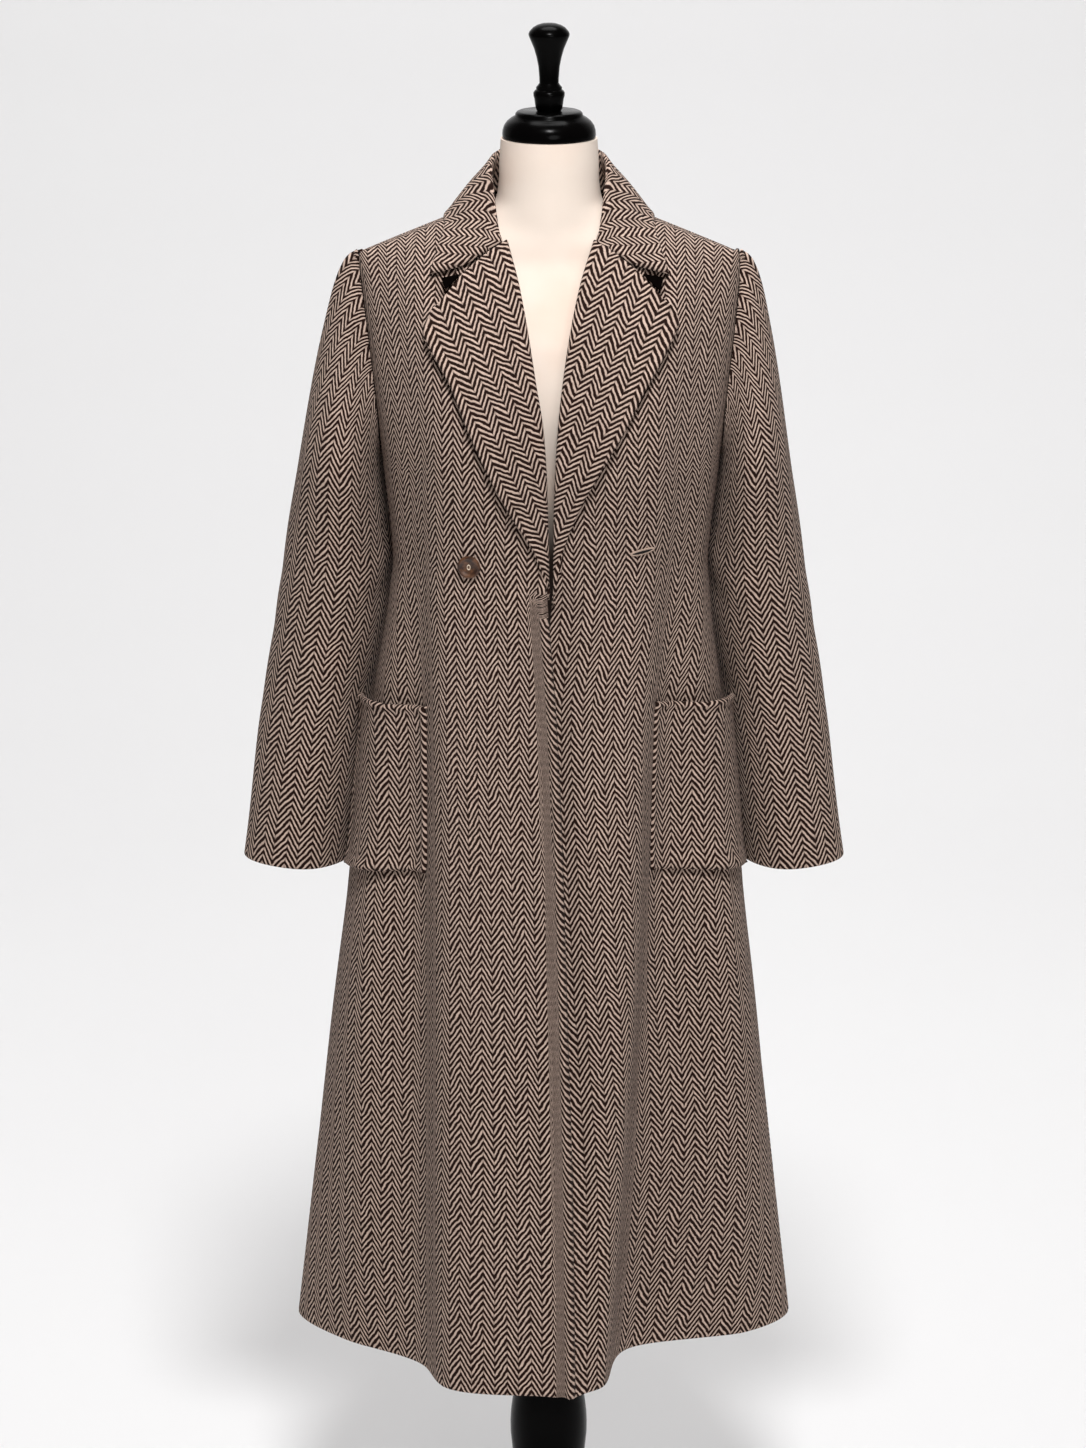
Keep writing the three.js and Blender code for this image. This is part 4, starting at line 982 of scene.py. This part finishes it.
def sleeve_net(side):
    rises = np.concatenate([[0.0], RISES[1::2][:-1], [1.0]])
    front = np.array([front_upper(side, [1.0], rise)[0] for rise in rises])
    share = 0.0 if side == "right" else 1.0
    rear = np.array([back_upper([share], rise)[0] for rise in rises])
    armhole = np.concatenate([front, rear[1:-1][::-1]])
    top, count = len(front) - 1, len(front) + len(rear) - 2
    k = np.arange(count)
    turn = np.where(k <= top, k / top * math.pi, math.pi + (k - top) / (count - top) * math.pi)
    sign = SIGN[side]
    start = armhole + [sign * SEAM, 0, 0]
    end = sleeve_ring(side, SLEEVE_TOP_Z, turn)
    arrive = sleeve_ring(side, SLEEVE_TOP_Z - 20, turn) - end
    length = np.linalg.norm(end - start, axis=1, keepdims=True)
    high = (0.5 - np.cos(turn) / 2)[:, None]
    out, up, reach = (mix(a, b, high) for a, b in zip(LEAVE["under"], LEAVE["top"]))
    leave = np.concatenate([sign * out, 0 * out, up], axis=1) * reach * length
    arrive = arrive / np.linalg.norm(arrive, axis=1, keepdims=True) * length
    rings = []
    for s in np.concatenate([[0, 0.012, 0.025, 0.045], np.linspace(0.07, 1, 34)[:-1]]):
        rings.append(start * (2 * s**3 - 3 * s**2 + 1) + leave * (s**3 - 2 * s**2 + s)
                     + end * (3 * s**2 - 2 * s**3) + arrive * (s**3 - s**2))
    for z in spaced(SLEEVE_TOP_Z, CUFF_Z, 6.0, (False, True)):
        rings.append(sleeve_ring(side, z, turn))
    net = np.array(rings)
    return np.concatenate([net, net[:, :1]], axis=1)


def sleeve_out(net, side):
    """Directions out of a tube whose last column is its first again."""
    wide = np.concatenate([net[:, -3:-1], net, net[:, 1:3]], axis=1)
    out = out_of(wide, side == "left")[:, 2:-2]
    centre = net[:, :-1].mean(axis=1, keepdims=True)
    return out * np.sign(np.sum(out * (net - centre), axis=2).mean())


def sleeve(side):
    net = sleeve_net(side)
    out = sleeve_out(net, side)
    z = net[..., 2]
    down = walked(net, 0)
    middle = net[:, :-1].mean(axis=1, keepdims=True)
    facing = (net - middle) / np.maximum(np.linalg.norm(net - middle, axis=2, keepdims=True), 1)
    outer, ahead = facing[..., 0] * SIGN[side], -facing[..., 1]
    move = turned(down[-1:] - down, HEM_ROUND)
    head = fade(down, 0, 16) * (1 - fade(down, 30, 90))
    move += 1.6 * head * np.clip(z - 1300, 0, 100) / 100
    move += seam_profile(down)
    slant = z + 26 * outer + 14 * ahead
    inside = 0.35 + 0.65 * np.clip(-outer, 0, 1)
    move -= 1.8 * ridge(slant, 1052, 16) * inside * np.clip(0.7 + ahead, 0, 1)
    move += 1.4 * ridge(slant, 1084, 22) * inside
    move -= 1.5 * ridge(slant, 1112, 14) * inside * np.clip(0.6 + ahead, 0, 1)
    move -= 1.2 * ridge(slant - 18 * outer, 960, 20) * inside
    move += 0.9 * np.sin(z / 38.0 + 2.0 * outer) * (1 - fade(z, 1100, 1200))
    round_arm = walked(net, 1)
    quarter = net.shape[1] // 4
    across = round_arm - round_arm[:, quarter:quarter + 1]
    weave = np.stack([across * SLEEVE_NARROW, down[-1:] - down], axis=-1)
    piece = sew(f"coat_sleeve_{side}", net + move[..., None] * out, weave, closed=True, flip=side == "left")
    piece.data.materials.append(WOOL)
    return piece


sleeves = {side: sleeve(side) for side in ("right", "left")}

# %% [markdown]
# The button is turned from a dark horn-like disc: a raised rim and a dished middle, with a loop of pale
# thread. An outline is spun round its middle to make the disc.

# %% Button finish
horn = Finish("dark_horn")
horn_place = horn.place()
streaks = horn.noise(horn_place, 160.0, 4.0, 0.6)
horn.set(base_color=horn.blend(horn.ramp(streaks, 0.35, 0.7), srgb(44, 25, 16), srgb(104, 68, 44)))
horn.bump(streaks, 0.0002, 0.3)
horn.set(roughness=0.34)
HORN = horn.material
print("finish of the button:", HORN.name)

thread = Finish("cream_thread")
thread_place = thread.place()
plies = thread.noise(thread_place, 1400.0, 2.0)
thread.set(base_color=thread.blend(plies, srgb(188, 166, 142), srgb(232, 216, 196)))
thread.bump(plies, 0.0002, 0.6)
thread.set(roughness=0.8)
THREAD = thread.material


def spun(name, outline, material, sides=64, crease=35):
    """A turned piece: an outline of radius and height in mm, spun round the vertical axis."""
    bm = bmesh.new()
    verts = [bm.verts.new((r * MM, 0, h * MM)) for r, h in outline]
    edges = [bm.edges.new(pair) for pair in zip(verts, verts[1:])]
    bmesh.ops.spin(bm, geom=verts + edges, cent=(0, 0, 0), axis=(0, 0, 1), angle=2 * math.pi,
                   steps=sides, use_merge=True)
    bmesh.ops.remove_doubles(bm, verts=bm.verts[:], dist=1e-6)
    bmesh.ops.recalc_face_normals(bm, faces=bm.faces[:])
    for face in bm.faces:
        face.smooth = True
    for edge in bm.edges:
        edge.smooth = edge.calc_face_angle(0) < math.radians(crease)
    piece = made_object(name, bm)
    piece.data.materials.append(material)
    print(name, len(piece.data.polygons), "faces")
    return piece


# %% Button and its thread
BUTTON_X, BUTTON_Z = -79, 1123
BUTTON_OUTLINE = [[0, 2.4], [3.2, 2.5], [6.0, 2.9], [7.6, 3.6], [8.6, 4.3], [9.8, 4.5], [10.8, 4.1],
                  [11.4, 3.0], [11.5, 1.8], [10.9, 0.6], [9.6, 0.0], [0, 0]]
button = spun("coat_button", BUTTON_OUTLINE, HORN, 48)
button_out = Vector(front_out("right", BUTTON_X, BUTTON_Z))
button_seat = Vector(on_front("right", BUTTON_X, BUTTON_Z, LAY)) * MM
stand_up = Matrix.Translation(button_seat) @ button_out.to_track_quat("Z", "Y").to_matrix().to_4x4()
button.data.transform(stand_up)
loop_mesh = bmesh.new()
bmesh.ops.create_circle(loop_mesh, segments=10, radius=0.55 * MM, cap_ends=False)
bmesh.ops.rotate(loop_mesh, verts=loop_mesh.verts[:], cent=(0, 0, 0),
                 matrix=Matrix.Rotation(math.pi / 2, 3, "X"))
bmesh.ops.translate(loop_mesh, verts=loop_mesh.verts[:], vec=(1.9 * MM, 0, 0))
bmesh.ops.spin(loop_mesh, geom=loop_mesh.verts[:] + loop_mesh.edges[:], cent=(0, 0, 0), axis=(0, 0, 1),
               angle=2 * math.pi, steps=28, use_merge=True)
bmesh.ops.remove_doubles(loop_mesh, verts=loop_mesh.verts[:], dist=1e-6)
bmesh.ops.scale(loop_mesh, verts=loop_mesh.verts[:], vec=(0.8, 1.25, 1.0))
bmesh.ops.translate(loop_mesh, verts=loop_mesh.verts[:], vec=(0, 0, 2.7 * MM))
bmesh.ops.transform(loop_mesh, verts=loop_mesh.verts[:], matrix=stand_up)
bmesh.ops.recalc_face_normals(loop_mesh, faces=loop_mesh.faces[:])
button_thread = made_object("button_thread", loop_mesh)
button_thread.data.materials.append(THREAD)

# %% [markdown]
# The buttonhole on the other front is a worked slit: a thin spindle, near-black as painted shade in the cut,
# and round it a ring of thread like a long narrow loop. Both are nets whose rows are small rings, bent along
# the slit.

# %% Buttonhole
HOLE_X, HOLE_Z, HOLE_HALF, HOLE_TILT = 92, 1137, 10.5, math.radians(11)


def on_hole(u, v, away):
    """A point beside the buttonhole, u along its slit and v above it."""
    c, s = math.cos(HOLE_TILT), math.sin(HOLE_TILT)
    return on_front("left", HOLE_X + c * u - s * v, HOLE_Z + s * u + c * v, away)


def hole_net(radius):
    """With a radius of 0 the slit's inside as a thin spindle of painted shade, otherwise the thread round it.
    """
    turns = np.linspace(0, 2 * math.pi, 13)
    if radius == 0:
        thin = [(u, 1.3 * math.sqrt(max(1 - (u / HOLE_HALF) ** 2, 0)))
                for u in np.linspace(-HOLE_HALF, HOLE_HALF, 33)]
        return np.array([[on_hole(u, r * math.cos(w), 0.9 + r * math.sin(w)) for w in turns]
                         for u, r in thin])
    rows = []
    for a in np.linspace(0, 2 * math.pi, 73):
        u, v = (HOLE_HALF + 1.0) * math.cos(a), 2.0 * math.sin(a)
        along = np.array([math.cos(a) * 1.7, math.sin(a) * (HOLE_HALF + 1.0)])
        along /= np.linalg.norm(along)
        rows.append([on_hole(u + along[0] * radius * math.cos(w), v + along[1] * radius * math.cos(w),
                             0.7 + radius * math.sin(w)) for w in turns])
    return np.array(rows)


# The spindle's near-black colour is painted shade inside the cut.
slit_painted_shade = Finish("slit_painted_shade")
slit_painted_shade.set(base_color=srgb(14, 9, 8), roughness=1.0)
lip_wool = Finish("lip_thread")
lip_place = lip_wool.place()
lip_plies = lip_wool.noise(lip_place, 1100.0, 2.0)
lip_wool.set(base_color=lip_wool.blend(lip_plies, srgb(120, 96, 82), srgb(206, 182, 166)), roughness=0.9)
slit = sew("buttonhole_slit_shade", hole_net(0), np.zeros((33, 13, 2)), closed=True, wall=0)
slit.data.materials.append(slit_painted_shade.material)
lips = sew("buttonhole_lips", hole_net(1.0), np.zeros((73, 13, 2)), closed=True, wall=0)
lips.data.materials.append(lip_wool.material)

# %% [markdown]
# The dress form is a padded shell covered with linen: level rings, each a rounded oval, joined into one
# skin. Linen shows a fine plain weave and faint pulls round the neck; below the chest, where the coat
# closes over it, it is coloured dark brown as painted shade. The post, the base, the cap and the finial
# are turned wood in black lacquer, so they are spun from their outlines.

# %% Linen and lacquer
linen = Finish("cream_linen")
linen_place = linen.place()
threads_up = linen.node("ShaderNodeTexWave", wave_type="BANDS", bands_direction="X")
threads_up.inputs["Scale"].default_value = 420.0
threads_up.inputs["Distortion"].default_value = 1.5
linen.put(threads_up.inputs["Vector"], linen_place)
threads_over = linen.node("ShaderNodeTexWave", wave_type="BANDS", bands_direction="Z")
threads_over.inputs["Scale"].default_value = 420.0
threads_over.inputs["Distortion"].default_value = 1.5
linen.put(threads_over.inputs["Vector"], linen_place)
cloth_grain = linen.maths("MULTIPLY", threads_up.outputs[1], threads_over.outputs[1])
blush = linen.ramp(linen.noise(linen_place, 9.0, 3.0), 0.35, 0.7)
fleck = linen.ramp(linen.noise(linen_place, 260.0, 3.0, 0.7), 0.25, 0.75, 0.93, 1.0)
# Below the chest the linen is painted dark brown: painted shade where the coat closes over the form.
linen_height = linen.node("ShaderNodeSeparateXYZ")
linen.put(linen_height.inputs[0], linen_place)
above_painted_shade = linen.ramp(linen_height.outputs[2], 1.115, 1.195)
linen_with_painted_shade = linen.blend(above_painted_shade, srgb(62, 46, 38),
                           linen.blend(blush, srgb(238, 223, 210), srgb(233, 211, 195)))
linen_flecks = linen.blend(fleck, (0.9, 0.9, 0.9, 1), (1, 1, 1, 1))
linen.set(base_color=linen.blend(1.0, linen_with_painted_shade, linen_flecks, "MULTIPLY"))
pulls = linen.noise(linen_place, 22.0, 2.0)
linen.bump(linen.maths("MULTIPLY_ADD", pulls, 3.0, cloth_grain), 0.0004, 0.35)
linen.set(roughness=0.88)
LINEN = linen.material

lacquer = Finish("black_lacquer")
lacquer_place = lacquer.place()
brushed = lacquer.noise(lacquer_place, 55.0, 3.0)
lacquer.set(base_color=lacquer.blend(brushed, srgb(2, 2, 2), srgb(5, 4, 4)))
lacquer.set(roughness=lacquer.ramp(brushed, 0.3, 0.7, 0.16, 0.26))
lacquer.shine(0.05)
lacquer.bump(brushed, 0.0004, 0.15)
LACQUER = lacquer.material
print("finishes of the form:", LINEN.name, "and", LACQUER.name)

# %% Dress form
FORM_TOP_Z = 1529
FORM_SIDES = 96
FORM = table("z side front back power", [
    [868, 136, 86, 90, 2.2], [875, 150, 94, 100, 2.2], [920, 154, 96, 100, 2.2], [1000, 138, 90, 86, 2.2],
    [1104, 118, 86, 68, 2.2], [1210, 140, 108, 90, 2.2], [1270, 150, 116, 96, 2.2], [1330, 160, 104, 88, 2.1],
    [1370, 165, 84, 72, 2], [1396, 166, 68, 58, 1.9], [1412, 160, 58, 50, 1.8], [1426, 140, 54, 46, 1.7],
    [1442, 102, 51, 44, 1.5], [1452, 76, 50, 44, 1.6], [1464, 56, 49, 45, 1.9], [1482, 50.5, 48, 46, 2],
    [1505, 49.5, 48, 46, 2], [1529, 48, 47, 46, 2],
])


def form_ring(z):
    """A level ring of the form, a rounded oval that is deeper in front than behind."""
    side, front, rear, power = (read(FORM, "z", name, z) for name in ("side", "front", "back", "power"))
    turn = np.linspace(0, 2 * math.pi, FORM_SIDES + 1)
    c, s = np.cos(turn), np.sin(turn)
    x = side * np.sign(c) * np.abs(c) ** (2 / power)
    y = np.where(s < 0, front, rear) * np.sign(s) * np.abs(s) ** (2 / power)
    return np.stack([x, y, np.full_like(x, z)], axis=-1)


def form_skin():
    """The rings as one skin, closed flat at its bottom and its top."""
    net = np.array([form_ring(z) for z in np.concatenate([[868], np.linspace(870, FORM_TOP_Z, 133)])])
    piece = sew("linen_form", net, net[..., [0, 2]], closed=True, wall=0)
    bm = bmesh.new()
    bm.from_mesh(piece.data)
    caps = bmesh.ops.holes_fill(bm, edges=bm.edges[:], sides=0)["faces"]
    bmesh.ops.recalc_face_normals(bm, faces=bm.faces[:])
    for face in caps:
        face.smooth = False
        for edge in face.edges:
            edge.smooth = False
    bm.to_mesh(piece.data)
    bm.free()
    piece.data.materials.append(LINEN)
    return piece


form = form_skin()

# %% Cap, finial, post and base
CAP = [[0, 1529.3], [45, 1529.3], [46.3, 1530.5], [46.6, 1533], [46.2, 1537], [44.8, 1541.5],
       [42, 1545.5], [38, 1548.8], [34.4, 1550.8], [33.6, 1552], [33.4, 1553.6], [32, 1555.2],
       [30, 1556], [0, 1556]]
FINIAL = [[0, 1556.2], [12, 1556.2], [13.2, 1558.5], [14, 1563], [14.6, 1568], [15.6, 1571.5],
          [15.6, 1574], [14.4, 1576], [12.8, 1577.2], [13, 1579.4], [11, 1581.6], [9.6, 1583.6],
          [9.7, 1589], [10.6, 1600], [12.4, 1609], [15, 1618], [18, 1625], [20, 1629.8],
          [20.4, 1632], [19.6, 1634.4], [16, 1638.4], [12, 1640.8], [7, 1642.4], [0, 1643]]
POST = [[0, 28.3], [52, 28.3], [54, 32], [54, 40], [50, 46], [44, 53], [40, 62], [36, 73], [34, 84],
        [34.4, 98], [36, 112], [38.6, 130], [40.4, 148], [40.6, 160], [40, 172], [38.4, 185],
        [36.5, 196], [34.9, 207], [34.5, 216], [35.6, 226], [37, 232], [37, 240], [36.4, 246],
        [37, 252], [37, 300], [36, 400], [30, 470], [24, 540], [22.6, 650], [24, 800], [26.5, 828],
        [30, 850], [34, 867.7], [0, 867.7]]
BASE = [[0, 0], [161, 0], [163.6, 1.2], [165, 5], [165, 14], [163.5, 16.4], [160, 18.2], [155, 20],
        [140, 22], [120, 24], [95, 26], [70, 28], [0, 28]]
cap = spun("form_cap_turned", CAP, LACQUER, 96)
finial = spun("form_finial_turned", FINIAL, LACQUER, 72)
post = spun("stand_post_turned", POST, LACQUER, 72)
base = spun("stand_base_turned", BASE, LACQUER, 128)

# %% [markdown]
# The studio is plain: a pale floor that curves up into a pale wall, a soft light from high in front, a
# weaker one from lower down on the right, a broad one on the wall, and a faint even light all round.

# %% Studio
sweep_mesh = bmesh.new()
bmesh.ops.create_grid(sweep_mesh, x_segments=1, y_segments=60, size=1)
sweep_mesh.verts.ensure_lookup_table()
FLOOR_FRONT, FLOOR_BACK, WALL_BEND = 5.5, 2.6, 1.2
SWEEP_LONG, SWEEP_HALF_WIDE = 16, 9
for vert in sweep_mesh.verts:
    walk = (vert.co.y + 1) / 2 * SWEEP_LONG
    flat_end = FLOOR_FRONT + FLOOR_BACK
    turn = min(max((walk - flat_end) / WALL_BEND, 0), math.pi / 2)
    rise = max(walk - flat_end - WALL_BEND * math.pi / 2, 0)
    y = -FLOOR_FRONT + min(walk, flat_end) + WALL_BEND * math.sin(turn)
    vert.co = (vert.co.x * SWEEP_HALF_WIDE, y, WALL_BEND * (1 - math.cos(turn)) + rise - 0.0005)
for face in sweep_mesh.faces:
    face.smooth = True
sweep_mesh.normal_update()
sweep = made_object("sweep", sweep_mesh)
paper = Finish("studio_paper")
paper_tone = paper.noise(paper.place(), 0.6, 2.0)
paper.set(base_color=paper.blend(paper_tone, srgb(231, 230, 231), srgb(236, 236, 236)))
paper.set(roughness=0.9)
# The wall is seen from its front side only, so that it does not hide the coat from behind.
paper.set(alpha=paper.maths("SUBTRACT", 1.0, paper.node("ShaderNodeNewGeometry").outputs["Backfacing"]))
sweep.data.materials.append(paper.material)


def soft_light(name, place, size, power, aim):
    lamp = bpy.data.objects.new(name, bpy.data.lights.new(name, "AREA"))
    lamp.data.shape, lamp.data.size, lamp.data.energy = "DISK", size, power
    lamp.location = place
    lamp.rotation_euler = (Vector(aim) - Vector(place)).to_track_quat("-Z", "Y").to_euler()
    bpy.context.scene.collection.objects.link(lamp)


soft_light("key", (0.1, -2.4, 4.3), 0.8, 138, (0, 0, 1.35))
soft_light("fill", (0.9, -4.4, 2.3), 2.0, 38, (0, 0, 1.45))
soft_light("wall_light", (0, 1.2, 5.2), 3.0, 150, (0, 3.8, 1.0))
sky = bpy.data.worlds.new("sky")
sky.use_nodes = True
sky.node_tree.nodes["Background"].inputs[0].default_value = (1.0, 0.97, 0.94, 1)
sky.node_tree.nodes["Background"].inputs[1].default_value = 0.13
bpy.context.scene.world = sky
bpy.context.scene.view_settings.view_transform = "Standard"

# %% [markdown]
# Last, each piece says which plain solids it stands for. Those solids are hidden, and every piece, with the
# small extra ones, is hung on the root frame.

# %% Frame
STANDS_FOR = {
    "front_right": fronts["right"], "front_left": fronts["left"], "back": back,
    "pocket_right": pockets["right"], "pocket_left": pockets["left"],
    "lapel_right": lapels["right"], "lapel_left": lapels["left"], "collar": collar,
    "sleeve_right": sleeves["right"], "sleeve_left": sleeves["left"], "button": button,
    "form_body": form, "form_cap": cap, "form_finial": finial, "stand_post": post, "stand_base": base,
}
for node, piece in STANDS_FOR.items():
    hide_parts(node)
    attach(piece, "root")
EXTRAS = [(button_thread, "horn"), (slit, "horn"), (lips, "wool"), *((f, "wool") for f in notch_shade_nets.values())]
for piece, slot in EXTRAS:
    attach(piece, "root")
